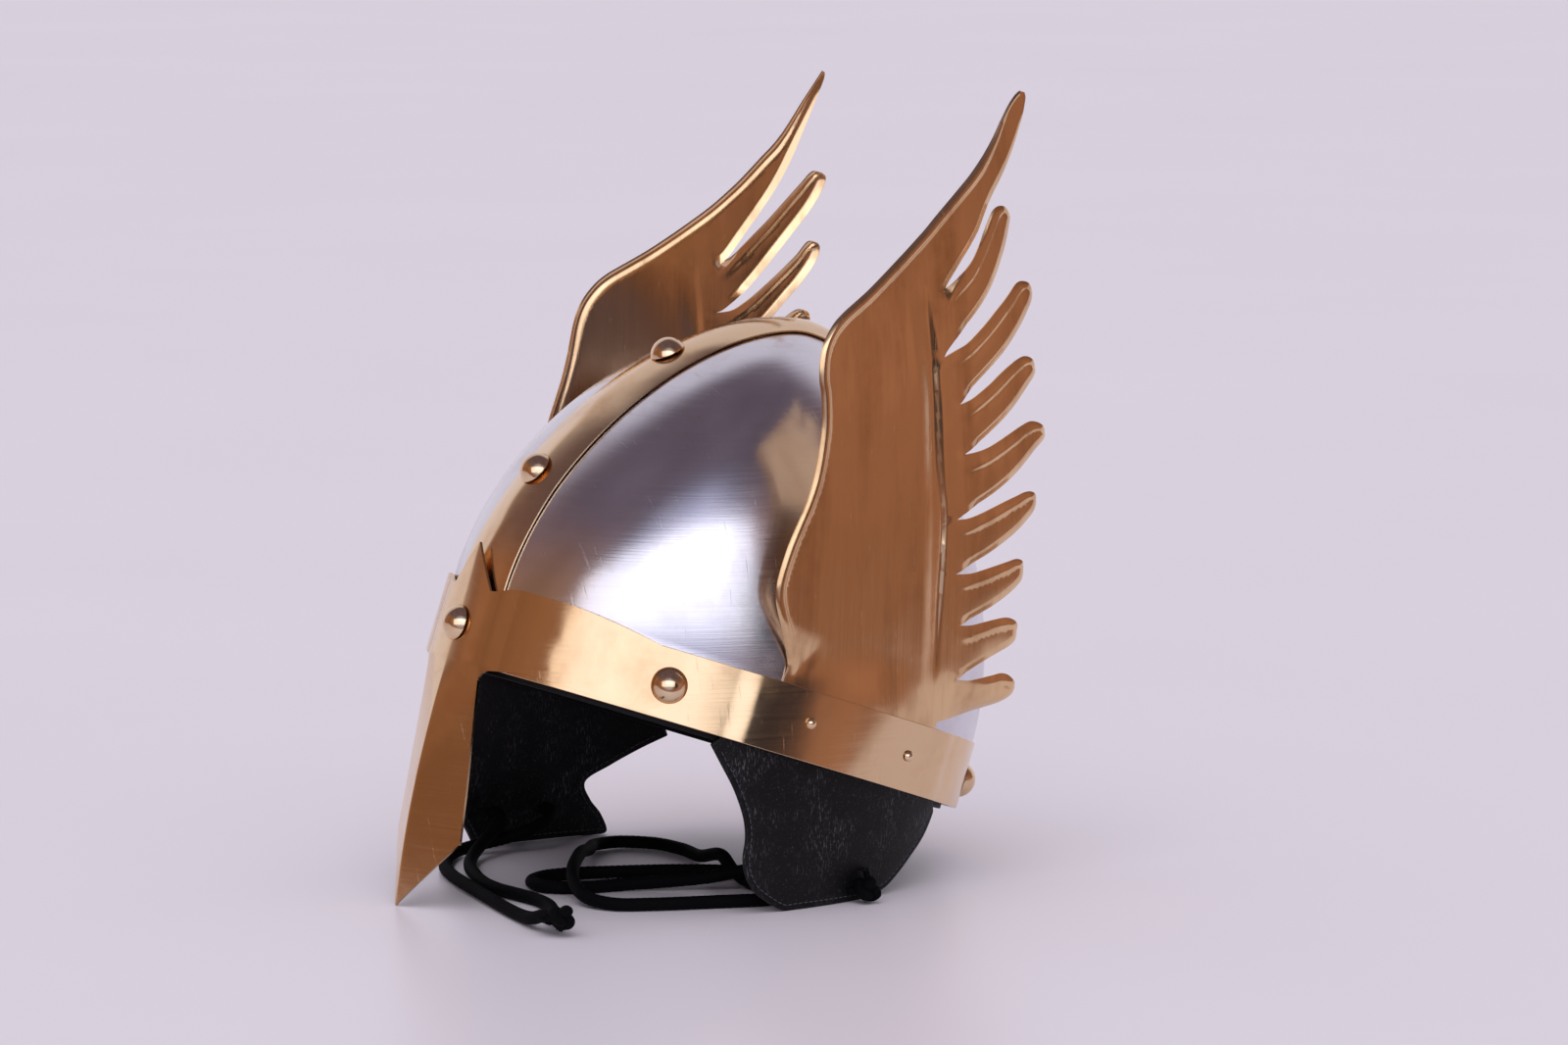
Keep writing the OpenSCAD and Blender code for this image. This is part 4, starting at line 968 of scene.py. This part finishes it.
def make_wings():
    for (name, side), shape, seed in zip(SIDES, (LEFT_WING, RIGHT_WING), (11, 12)):
        outline, front, rear, folds = wing_outline(*shape)
        guides = [(fold[3], FOLD_ROWS) for fold in folds] + [(line, SHAFT_ROWS) for line in shaft_lines()]
        flat, faces = filled(outline, WING_SPACING, WING_ROWS, guides)
        base = np.stack([side * wing_x(flat[:, 0], flat[:, 1]), flat[:, 0], flat[:, 1]], -1)
        swell = 0.42 * wave(base, 40, seed) + 0.1 * wave(base * [1, 1, 0.3], 12, seed + 2)
        relief = wing_relief(flat, front, rear, folds, BEAD_RISE[name], SHAFT_DEPTH[name])
        press = relief + swell * ramp(34, 60, flat[:, 1])
        if side > 0:
            press -= DENT_DEPTH * np.exp(-(((flat - DENT) / DENT_SIZE) ** 2).sum(1))
        base[:, 0] += side * press
        made = piece(name + "_wing_brass", stood(base), facing(faces, side), "wing_brass", [name + "_wing"],
                     sharp=50)
        thicken(made, WING_T, inward=False, edge=0.2)


# Rivets
def frame_at(origin, out):
    """Matrix with its local z along out."""
    return Matrix.Translation(Vector(origin)) @ Vector(out).to_track_quat("Z", "Y").to_matrix().to_4x4()


def on_rim(t, z, side=1):
    p, n = on_skull(t, z), normal_at(t, 0)
    return frame_at(p * [side, 1, 1], n * [side, 1, 1])


def on_crest(a):
    return frame_at(on_line(0, a), line_normal(a))


def lathe(profile, segments):
    """Points and faces of a profile of (radius, height) turned round, closed at both ends."""
    profile = np.array(profile, float)
    a = np.linspace(0, 2 * math.pi, segments, endpoint=False)
    rings = np.stack([profile[:, :1] * np.cos(a), profile[:, :1] * np.sin(a),
                      np.repeat(profile[:, 1:], segments, 1)], -1)
    ends = [[0, 0, profile[0, 1]], [0, 0, profile[-1, 1]]]
    size = len(profile) * segments
    faces = grid_faces(len(profile), segments, True).tolist()
    faces += end_fan(0, segments, size, -1) + end_fan(size - segments, segments, size + 1)
    return np.vstack([rings.reshape(-1, 3), ends]), faces


def rivet_profile(head_d, head_h, pin_d, depth):
    """From the peened end up over the domed head."""
    r, pin, peen = head_d / 2, pin_d / 2, 0.85 * pin_d
    ball = (head_h * head_h + r * r) / (2 * head_h)
    steps = np.radians(np.linspace(math.degrees(math.asin(r / ball)), 2, 14))
    dome = [(ball * math.sin(q), head_h - ball + ball * math.cos(q)) for q in steps]
    low = -depth - PEEN_T
    return [(peen * 0.5, low), (peen * 0.85, low + 0.12), (peen, low + 0.4), (peen, -depth), (pin, -depth),
            (pin, 0), (r - 0.15, 0), (r, 0.08), (r, 0.22)] + dome[1:]


def joined(parts):
    """One set of points and faces from several turned ones, each with its place."""
    points, faces, count = [], [], 0
    for (p, f), place in parts:
        m = np.array(place)
        points.append(p @ m[:3, :3].T + m[:3, 3])
        faces += [[i + count for i in face] for face in f]
        count += len(p)
    return np.vstack(points), faces


# Height of the sheets under each kind of head, over the skull
INNER_FACE = SKULL_T + WASHER_GAP
CREST_LIFT = CREST_GAP + SEAT + CREST_T + CREST_KEEL
SIDE_LIFT = PLATE_LIFT + PLATE_T + SEAT
REAR_LIFT = 2 * SEAT + BAND_T
STUD_LIFT = 3 * SEAT + BAND_T + WING_T
WASHER_SIDES = 48


def lifted(place, lift):
    return place @ Matrix.Translation((0, 0, lift))


def rivets(name, node, places, head_d, head_h, pin_d, grip, segments):
    """Rivets at places that each have a lift, the height of the sheets under the head."""
    parts = [(lathe(rivet_profile(head_d, head_h, pin_d, lift + grip), segments), lifted(place, lift))
             for place, lift in places]
    points, faces = joined(parts)
    piece(name, stood(points), faces, "rivet_brass", [node], sharp=40)


def make_rivets():
    nasal_lift = PLATE_LIFT + PLATE_T + float(fold_lift(np.array(0.0), np.array(NASAL_RIVET[1]))) + SEAT
    groups = {
        "nasal_rivet": [(on_rim(*NASAL_RIVET), nasal_lift)],
        "crest_rivets": [(on_crest(a), CREST_LIFT) for a in CREST_RIVETS],
        "side_rivets": [(on_rim(*SIDE_RIVET, side), SIDE_LIFT) for side in (1, -1)],
        "rear_rivets": [(on_rim(*REAR_RIVET, side), REAR_LIFT) for side in (1, -1)]}
    for name, places in groups.items():
        rivets(name + "_brass", name, places, RIVET_D, RIVET_H, SHANK_D, INNER_FACE + PEEN_T + SEAT, 64)
    for name, side in SIDES:
        places = [(on_rim(*place, side), STUD_LIFT) for place in STUDS]
        rivets(name + "_studs_brass", name + "_wing_rivets", places, STUD_D, STUD_H, PIN_D,
               SKULL_T + FLAP_T + 2 * SEAT, 40)


def washer():
    """Turned like a rivet, with the fans at both ends taken off and its bore closed by a ring."""
    r, bore = WASHER_D / 2, SHANK_D / 2 + 0.1
    low, top = -INNER_FACE - PEEN_T, -INNER_FACE
    profile = [(bore, low), (r - 0.2, low), (r, low + 0.2), (r, top - 0.2), (r - 0.2, top), (bore, top)]
    points, faces = lathe(profile, WASHER_SIDES)
    size = len(profile) * WASHER_SIDES
    last = size - WASHER_SIDES
    faces = [f for f in faces if max(f) < size]
    ring = [(c, (c + 1) % WASHER_SIDES) for c in range(WASHER_SIDES)]
    return points[:size], faces + [[last + d, d, c, last + c] for c, d in ring]


def make_washers():
    places = [on_crest(a) for a in CREST_RIVETS] + [on_rim(*NASAL_RIVET)]
    places += [on_rim(*spot, side) for spot in (SIDE_RIVET, REAR_RIVET) for side in (1, -1)]
    points, faces = joined([(washer(), place) for place in places])
    piece("rivet_washers_steel", stood(points), faces, "washer_steel", ["rivet_washers"])


# Ear flaps: y of the front and back edge at each depth below the rim
LEFT_FRONT = [
    (4, -41), (10, -35), (19, -26), (29, -18.4), (36, -15.3), (44, -13.6), (50.5, -10), (55, -5),
    (57.6, 2)]
LEFT_BACK = [
    (44.8, 51), (42, 55.8), (38.5, 60.3), (31, 65.6), (24, 69.6), (15, 74.3), (8, 76), (4, 76.3)]
RIGHT_FRONT = [(4, -60), (20, -58), (36, -56), (48, -52), (58, -45), (66, -34)]
RIGHT_BACK = [(50.5, 33), (44, 28), (39, 20.5), (33, 15.5), (23, 24), (13, 34), (4, 44)]
FLAPS = ((LEFT_FRONT, LEFT_BACK, LEFT_SPLAY), (RIGHT_FRONT, RIGHT_BACK, RIGHT_SPLAY))

# Root behind the rim, hem with its stitches, foot on the floor, mesh rows and heights of the bend
ROOT_TOP = 22
ROOT_INSET = 3
HEM_IN = 2.4
HEM_HALF = 0.7
HEM_DEPTH = 0.3
STITCH = 2.0
STITCH_PITCH = 2.5
STITCH_R = 0.24
STITCH_ARCH = 0.16
STITCH_SIDES = 8
STITCH_RINGS = 7
FOOT_CLEAR = 0.15
FOOT_FRONT = 9
FOOT_BACK = 5
FLAP_SPACING = 2.4
FLAP_ROWS = (0.8, 1.6, 2.4, 3.2, 4.2, 5.4)
BEND_TOP = -1
BEND_END = -11


def y_angle(y):
    return np.degrees(np.arcsin(clamp(y / half_len(0, y), -1, 1)))


def floor_depth(y):
    """Depth of the floor below the rim at a place along the helmet."""
    return (STAND[2] - y * math.sin(PITCH)) / math.cos(PITCH)


def flap_outline(front, back):
    """Outline of a flap and its root, from the root's front corner down and round to its back corner."""
    foot_y = np.linspace(front[-1][1] + FOOT_FRONT, back[0][1] - FOOT_BACK, 8)
    foot = [(y, float(floor_depth(y)) - FOOT_CLEAR) for y in foot_y]
    edge = [(y, -d) for d, y in front] + [(y, -d) for y, d in foot] + [(y, -d) for d, y in back]
    lower = spline(edge, 1.5)
    ahead, behind = front[0][1] + ROOT_INSET, back[-1][1] - ROOT_INSET
    corners = [(behind, 0), (behind, ROOT_TOP), (ahead, ROOT_TOP), (ahead, 0)]
    top = [spline(corners[i:i + 2], 2)[min(i, 1):] for i in range(3)]
    return np.vstack([lower, *top]), lower


def flap_surface(flat, lower, splay, side):
    """Points of a flap's middle surface and its outward normals, from (y, height) in its flat outline."""
    y, h = flat[:, 0], flat[:, 1]
    t = y_angle(y)
    surface = off_skull(t, 0, FLAP_MID)
    hang = np.maximum(-h - HINGE_DROP, 0)
    swell = swells(np.stack([y, h, h * 0], -1), (0.5, 26, 20 + side)) * ramp(6, 20, -h)
    hem = np.exp(-((segment_distance(flat, lower) - HEM_IN) / HEM_HALF) ** 2) * ramp(3, 8, -h)
    x = surface[:, 0] + hang * math.tan(math.radians(splay)) + swell - HEM_DEPTH * hem
    return np.stack([side * x, y, h], -1), normal_at(t, 0) * [side, 1, 1]


def around(across, out, angles):
    """Ways at the given angles round each point of a line, from two ways that stand on it."""
    return across[:, None] * np.cos(angles)[None, :, None] + out[:, None] * np.sin(angles)[None, :, None]


def stitches(line, lower, splay, side):
    """Points and faces of a row of stitches on both faces of a flap."""
    at = lengths_along(line)
    ring = np.linspace(0, 2 * math.pi, STITCH_SIDES, endpoint=False)
    f = np.linspace(-1, 1, STITCH_RINGS)
    size = STITCH_RINGS * STITCH_SIDES
    faces = grid_faces(STITCH_RINGS, STITCH_SIDES, True).tolist()
    faces += [list(range(STITCH_SIDES)), list(range(size - STITCH_SIDES, size))[::-1]]
    parts = []
    for start in np.arange(0.5, at[-1] - STITCH_PITCH, STITCH_PITCH):
        where = start + STITCH * (f + 1) / 2
        flat = np.stack([np.interp(where, at, line[:, 0]), np.interp(where, at, line[:, 1])], -1)
        middle, out = flap_surface(flat, lower, splay, side)
        way = unit(np.gradient(middle, axis=0))
        across = unit(np.cross(out, way))
        r = STITCH_R * np.sqrt(clamp(1.02 - f ** 4))[:, None, None]
        for face in (1, -1):
            spine = middle + face * out * (FLAP_T / 2 + STITCH_ARCH * (1 - f * f))[:, None]
            points = spine[:, None] + r * around(across, out, ring)
            parts.append(((points.reshape(-1, 3), faces), Matrix.Identity(4)))
    return joined(parts)


def make_flap(name, side, front, back, splay):
    outline, lower = flap_outline(front, back)
    flat, faces = filled(outline[::-1], FLAP_SPACING, FLAP_ROWS)
    points, _ = flap_surface(flat, lower, splay, side)
    made = piece(name + "_flap_leather", stood(points), facing(faces, side), "flap_leather",
                 [name + "_flap", name + "_flap_root"], body=None, sharp=60)
    line = beside(lower, -HEM_IN)
    line = line[(line[:, 1] < -5) & inside(line, outline)]
    points, faces = stitches(line, lower, splay, side)
    seam = piece(name + "_flap_seam", stood(points), faces, "flap_leather", body=None, sharp=60,
                 material=SEAM_THREAD)
    thicken(made, FLAP_T, inward=False, edge=0.6, segments=3, even=False)
    top, end = stood(np.array([[0, 0, BEND_TOP], [0, 0, BEND_END]])) * MM
    for part in (made, seam):
        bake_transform(part)


def make_flaps():
    for (name, side), shape in zip(SIDES, FLAPS):
        make_flap(name, side, *shape)


# Lining: sweatband, crown leaves and the lace that draws them together. The shares are parts of a
# leaf's length: the part on the brow wall, its taper, and where it turns into its narrow tip.
SWEAT_OUT = -(SKULL_T + FLAP_T + PEEN_T + 4 * SEAT)
SWEAT_IN = SWEAT_OUT - SWEAT_T
LEAF_OUT = SWEAT_IN - SEAT
LEAF_FOOT = 14
LEAF_TIP_RISE = 0.955
LEAF_TIP_W = 0.42
LEAF_REACH = 0.93
LEAF_SAG = 0.5
LEAF_WALL = 0.125
LEAF_TAPER = 0.25
LEAF_TURN = 0.7
LEAF_COUNT = 8


def make_sweatband():
    t = np.linspace(0, 360, 360, endpoint=False)
    z = np.linspace(-LEATHER_SHOW, SWEAT_H - LEATHER_SHOW, 17)
    puff = 0.25 * np.sin(np.pi * (z + LEATHER_SHOW) / SWEAT_H)
    points = off_skull(t[None, :], np.minimum(z, BAND_H)[:, None], SWEAT_OUT)
    points[..., 2] = z[:, None]
    inward = -unit(points * [1, 1, 0])
    points += inward * puff[:, None, None]
    sheet("sweatband_leather", points, len(z), True, "liner_leather", "sweatband", SWEAT_T,
          edge=0.5, segments=3)


def leaf_height(f):
    """Height at a share of a leaf's length, of which the first part stands on the brow wall."""
    g = clamp((f - LEAF_WALL) / (1 - LEAF_WALL))
    above = BAND_H + DOME_H * LEAF_TIP_RISE * (1 - (1 - LEAF_REACH * g) ** (1 / DOME_POWER))
    return np.where(f < LEAF_WALL, blend(LEAF_FOOT, BAND_H, f / LEAF_WALL), above)


def make_leaves():
    f = np.linspace(0, 1, 49)
    across = np.linspace(-1, 1, 19)
    z = leaf_height(f)
    narrowed = (1 - LEAF_TAPER * LEAF_TURN) * blend(1, LEAF_TIP_W, clamp((f - LEAF_TURN) / 0.3))
    share = np.where(f < LEAF_TURN, 1 - LEAF_TAPER * f, narrowed)
    for k in range(LEAF_COUNT):
        t = (k + 0.5) * 360 / LEAF_COUNT
        reach = np.maximum(np.linalg.norm(on_skull(t, z)[:, :2], axis=1), 1)
        q = t + across[None, :] * (LEAF_W * share / 2 / reach * 180 / math.pi)[:, None]
        sag = LEAF_SAG * np.sin(np.pi * f)[:, None] * (1 - across[None, :] ** 2)
        points = off_skull(q, z[:, None] + 0 * q, LEAF_OUT - sag).reshape(-1, 3)
        points += (0.25 * wave(points, 21, 30 + k))[:, None] * -unit(points)
        name = f"liner_leaf_{k + 1}"
        sheet(name + "_leather", points, len(f), False, "liner_leather", name, LEAF_T, edge=0.4)


def make_lace():
    t = np.linspace(0, 360, 240, endpoint=False)
    lace_z = float(leaf_height(np.array(1.0))) - LACE_W
    z = np.linspace(lace_z - LACE_W / 2, lace_z + LACE_W / 2, 5)
    depth = LEAF_OUT - LEAF_T - 0.4
    points = off_skull(t[None, :], z[:, None], depth)
    sheet("crown_lace_leather", points, len(z), True, "liner_leather", "crown_lace", LACE_T, edge=0.4)


# Chin cords, along the routes of their solids
LEFT_ROUTE = [
    (87.5, 8, 10.5), (81.5, 8, 10.5), (72, 7, 9.2), (60, 5, 5.4), (46, 3.5, 3.1), (30, 4.5, 5.8),
    (14, 8.5, 9), (-17, 16, 3.2), (-36, 18.8, 2.7), (-53, 15.5, 2.7), (-63.5, 4, 2.8), (-60, -9, 3.4),
    (-45, -20.5, 5), (-26, -35, 8.1), (-8, -47.5, 9), (8, -58, 9), (25, -67, 7.2), (41, -70.5, 4),
    (54, -65, 2.8), (61, -53, 2.7), (70, -28, 2.7), (76.5, -6, 2.7), (74.5, 8, 2.7), (63, 19, 2.7),
    (40, 19, 2.7), (18, 10.5, 2.7), (5, -6, 2.7), (-5, -28, 2.7), (-12, -48, 2.7), (-12.5, -60, 2.7),
    (-5, -70, 2.7), (7.5, -70, 2.7), (15.5, -60, 2.7), (20, -40, 2.8), (36, -13, 5.4), (49, 4.5, 9.3),
    (61, 20, 9.3), (73, 28, 8), (81, 30, 6.8), (88.2, 30, 6.8)]
RIGHT_FRONT_ROUTE = [
    (-92.7, -40, 15), (-86.5, -40, 15), (-79, -45, 12), (-73.5, -54, 7.6), (-67, -62.5, 4),
    (-57, -70, 2.8), (-44, -77, 2.7), (-31, -82, 2.7), (-19, -86, 2.7), (-7, -88.5, 2.7), (5, -89, 2.7),
    (17, -87.5, 2.7), (29, -86.5, 2.7), (41, -88, 2.7), (52, -92, 2.8), (62, -97.5, 3.5),
    (70.5, -102.4, 5), (77.5, -105.2, 6.6), (84, -105.2, 6.6)]
RIGHT_REAR_ROUTE = [
    (-95, -14, 14), (-88.5, -14, 14), (-81, -20, 12), (-77.5, -31, 8.8), (-80, -43, 5.8), (-82, -53.5, 4),
    (-80, -63, 2.9), (-73, -71, 2.7), (-63, -78, 2.7), (-51, -85, 2.7), (-37, -90, 2.7),
    (-23, -93.5, 2.7), (-9, -96.3, 2.7), (5, -99, 2.7), (19, -101.8, 2.7), (33, -104.6, 2.7),
    (47, -107, 2.7), (60, -109, 3.2), (70, -110.6, 4.6), (77.5, -110.8, 6.6), (84, -110.8, 6.6)]
LEFT_FLAP, RIGHT_FLAP = "left_flap_body", "right_flap_body"

# Name, route, real length in metres, body and knot of each cord
CORDS = (
    ("left_cord", LEFT_ROUTE, 0.693, LEFT_FLAP, "left_knot"),
    ("right_cord_front", RIGHT_FRONT_ROUTE, 0.201, RIGHT_FLAP, "right_knot"),
    ("right_cord_rear", RIGHT_REAR_ROUTE, 0.237, RIGHT_FLAP, None))
CORD_SIDES = 32
CORD_STEP = 0.5
BRAID_DEPTH = 0.22
BRAID_PITCH = 15.0
BRAID_STRANDS = 6

# A knot: its size against its solid's, how far it passes the solid's length and reaches over the
# cords' ends, its height over the floor, and its frayed tails
KNOT_LOOSE = 1.25
KNOT_LONGER = 0.8
KNOT_REACH = 2.6
KNOT_CLEAR = 0.3
KNOT_LOOP = 1.22
KNOT_TAILS = (
    [(1.5, 2.0, 1), (3.2, 3.6, -0.5), (5.2, 5.0, -2.4)],
    [(-2, 1, -1), (-4.4, 2.2, -2), (-6.0, 3.2, -3.9)])
TAIL_R = 1.5
FRAY_COUNT = 9
FRAY_R = 0.28


def braided_tube(path, radius, depth=BRAID_DEPTH):
    """A closed tube along a path whose surface is crossed by two sets of strands."""
    way = unit(np.gradient(path, axis=0))
    side = np.zeros(way.shape)
    side[0] = unit(np.cross(way[0], [0, 0, 1.0]))
    for i in range(1, len(path)):
        s = side[i - 1] - way[i] * np.dot(side[i - 1], way[i])
        side[i] = s / np.linalg.norm(s)
    up = np.cross(side, way)
    at = lengths_along(path)
    angle = np.linspace(0, 2 * math.pi, CORD_SIDES, endpoint=False)
    a, b = (BRAID_STRANDS * (angle[None, :] + way_round * 2 * math.pi * at[:, None] / BRAID_PITCH)
            for way_round in (1, -1))
    over = np.cos(a / 2 + b / 2) * 0.5 + 0.5
    height = np.maximum(np.abs(np.sin(a / 2)) * (0.45 + 0.55 * over),
                        np.abs(np.sin(b / 2)) * (1 - 0.55 * over))
    r = radius - depth * (1 - height)
    points = path[:, None, :] + r[..., None] * around(side, up, angle)
    count = len(path) * CORD_SIDES
    faces = grid_faces(len(path), CORD_SIDES, True)[:, ::-1].tolist()
    faces += end_fan(0, CORD_SIDES, count) + end_fan(count - CORD_SIDES, CORD_SIDES, count + 1, -1)
    return np.vstack([points.reshape(-1, 3), path[:1], path[-1:]]), faces


def frays(tail):
    """The loose strands at the end of a knot's tail."""
    start, before = np.array(tail[-1]), np.array(tail[-2])
    for a in 2 * math.pi * np.arange(FRAY_COUNT) / FRAY_COUNT:
        end = start + 0.9 * np.array([math.cos(a), 0.3, math.sin(a)])
        tip = end + unit(start - before) * 1.3 + 0.5 * np.array(
            [math.cos(a * 2.3), math.sin(a * 1.7), math.sin(a)])
        yield braided_tube(spline([tail[-1], end, tip], 0.3), FRAY_R, 0.02)


def make_knot(name, body, turn):
    """A tight overhand knot with two short frayed tails."""
    low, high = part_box(name)
    center = np.array((low + high) / 2) / MM
    q = np.linspace(0, 2 * math.pi, 150)
    loop = [np.sin(q) + 2 * np.sin(2 * q), np.cos(q) - 2 * np.cos(2 * q), -1.7 * np.sin(3 * q)]
    tubes = [braided_tube(np.stack(loop, -1) * KNOT_LOOP, CORD_D / 2)]
    for tail in KNOT_TAILS:
        tubes += [braided_tube(spline(tail, CORD_STEP), TAIL_R), *frays(tail)]
    points, faces = joined([(tube, Matrix.Identity(4)) for tube in tubes])
    c, s = math.cos(turn), math.sin(turn)
    x, y, z = points.T
    points = np.stack([z, c * x - s * y, s * x + c * y], -1)
    points *= KNOT_LOOSE * KNOT_D / 2 / np.abs(points).max()
    points[:, 0] *= (KNOT_D / 2 + KNOT_LONGER) / np.abs(points[:, 0]).max()
    points[:, 0] -= KNOT_REACH
    points[:, 2] += KNOT_CLEAR - center[2] - points[:, 2].min()
    return piece(name + "_cord", points + center, faces, "cord_fabric", [name], body)


def make_cord(name, route, body):
    path = spline(route, CORD_STEP)
    points, faces = braided_tube(path, CORD_D / 2)
    made = piece(name + "_braided", points, faces, "cord_fabric", [name], body)


def make_cords():
    knots = {"left_knot": make_knot("left_knot", LEFT_FLAP, 0.6),
             "right_knot": make_knot("right_knot", RIGHT_FLAP, 2.4)}
    for name, route, length, body, knot in CORDS:
        make_cord(name, route, body)


# Floor, light and surroundings
FLOOR_SIZE = 14.0
FLOOR_COLORS = ((0.725, 0.68, 0.755), (0.765, 0.72, 0.79))
FLOOR_WAY = (0.97, -0.24, 0)
FLOOR_SHOWN = 0.25
FLOOR_SOFT = 0.035

# Each lamp seen from the helmet: azimuth and elevation, distance, width and height, radiance
LAMP_TARGET = Vector((0.06, -0.06, 0.12))
LAMP_COLOR = (0.97, 0.97, 1.0)
LAMPS = {
    "window": (-34, 18.5, 3.4, 5.7, 2.3, 0.98),
    "window_middle": (-26, 26, 3.3, 2.5, 0.75, 0.75)}
SUN_ENERGY = 0.98
SUN_WIDE = math.radians(60)
SUN_TURN = (math.radians(18), math.radians(20), 0)

# The room in reflections: azimuth, elevation, cosines of its edge and its middle, and colour of each
# patch, the last one a dark spot
ROOM_COLORS = ((0.23, 0.12, 0.085), (0.125, 0.095, 0.12))
ROOM_PATCHES = (
    (-105, 5, 0.75, 0.97, (0.28, 0.14, 0.08)),
    (45, -8, 0.86, 0.98, (0.33, 0.175, 0.125)),
    (-31, 17, 0.72, 0.92, (0.46, 0.46, 0.62)),
    (13, 4, 0.955, 0.985, (0.04, 0.035, 0.045)))
BACKDROP_AT = (149, 0, 0.3, 0.62)
BACKDROP_COLORS = ((0.78, 0.73, 0.80), (0.66, 0.62, 0.69))
SEEN_COLOR = (0.72, 0.68, 0.77)
SOFT_COLOR = (0.66, 0.63, 0.68)


def make_floor():
    """A pale floor. Past a line on the wearer's left it turns clear to glossy rays only, so polished metal
    shows a painted reflection of the dark room there in place of the floor.
    """
    net = Net(bpy.data.materials.new("pale_floor"))
    tone = net.noise(net.coords, 3.0)
    pale = net.principled({"Base Color": net.mix(tone, *FLOOR_COLORS), "Roughness": 0.38})
    place = net.toward(net.coords, FLOOR_WAY)
    past = net.remap(place, FLOOR_SHOWN - FLOOR_SOFT, FLOOR_SHOWN + FLOOR_SOFT, smooth=True)
    # Painted reflection: past this line glossy rays see through the floor to the dark room, while the
    # camera still sees the floor.
    hidden = net.math("MULTIPLY", past, net.node("ShaderNodeLightPath").outputs["Is Glossy Ray"])
    clear = net.node("ShaderNodeBsdfTransparent").outputs[0]
    mixed = net.node("ShaderNodeMixShader", {0: hidden, 1: pale, 2: clear}).outputs[0]
    mesh = bpy.data.meshes.new("floor")
    corners = [(x * FLOOR_SIZE, y * FLOOR_SIZE, 0) for x, y in ((-1, -1), (1, -1), (1, 1), (-1, 1))]
    mesh.from_pydata(corners, [], [(0, 1, 2, 3)])
    mesh.materials.append(net.surface(OUTPUT, mixed))
    linked("floor", mesh)


def direction(azimuth, elevation):
    a, e = math.radians(azimuth), math.radians(elevation)
    return Vector((math.cos(e) * math.cos(a), math.cos(e) * math.sin(a), math.sin(e)))


def make_lights():
    sun = bpy.data.lights.new("soft_sun", "SUN")
    sun.energy = SUN_ENERGY
    sun.angle = SUN_WIDE
    lamp = linked("soft_sun", sun)
    lamp.rotation_euler = SUN_TURN
    lamp.visible_glossy = False
    for name, (azimuth, elevation, distance, width, height, radiance) in LAMPS.items():
        data = bpy.data.lights.new(name, "AREA")
        data.shape = "RECTANGLE"
        data.size, data.size_y = width, height
        data.energy = radiance * math.pi * width * height
        data.color = LAMP_COLOR
        lamp = linked(name, data)
        place = LAMP_TARGET + distance * direction(azimuth, elevation)
        aim(lamp, place, LAMP_TARGET - place)
        lamp.visible_diffuse = False


def make_world():
    """A pale backdrop behind the helmet and a dim warm room on the side of the camera."""
    world = bpy.data.worlds.new("room")
    bpy.context.scene.world = world
    net = Net(world)
    way = net.node("ShaderNodeTexCoord").outputs["Generated"]

    def lobe(azimuth, elevation, start, end):
        return net.remap(net.toward(way, direction(azimuth, elevation)), start, end, smooth=True)

    height = net.node("ShaderNodeSeparateXYZ", {0: way}).outputs["Z"]
    patch = net.remap(net.noise(way, 2.4, rough=0.55), 0.3, 0.7, 0.7, 1.35)
    room = net.mix(net.remap(height, 0.3, 0.8, smooth=True), *ROOM_COLORS)
    for *where, color in ROOM_PATCHES:
        room = net.mix(lobe(*where), room, color)
    room = net.mix(1.0, room, patch, "MULTIPLY")
    backdrop = net.mix(net.remap(height, 0.0, 0.75), *BACKDROP_COLORS)
    behind = net.math("MULTIPLY", lobe(*BACKDROP_AT), net.remap(height, 0.76, 0.9, 1.0, 0.0, smooth=True))
    path = net.node("ShaderNodeLightPath").outputs
    shown = net.mix(path["Is Camera Ray"], net.mix(behind, room, backdrop), SEEN_COLOR)
    soft = net.mix(path["Is Diffuse Ray"], shown, SOFT_COLOR)
    background = net.node("ShaderNodeBackground", {"Color": soft, "Strength": 1.0})
    net.surface("ShaderNodeOutputWorld", background.outputs[0])


for make in (make_cords, make_skull, make_brow_band, make_crest_band, make_front_plate, make_wings,
             make_rivets, make_washers, make_flaps, make_sweatband, make_leaves, make_lace,
             make_floor, make_lights, make_world):
    make()

bpy.context.scene.view_settings.view_transform = "Standard"
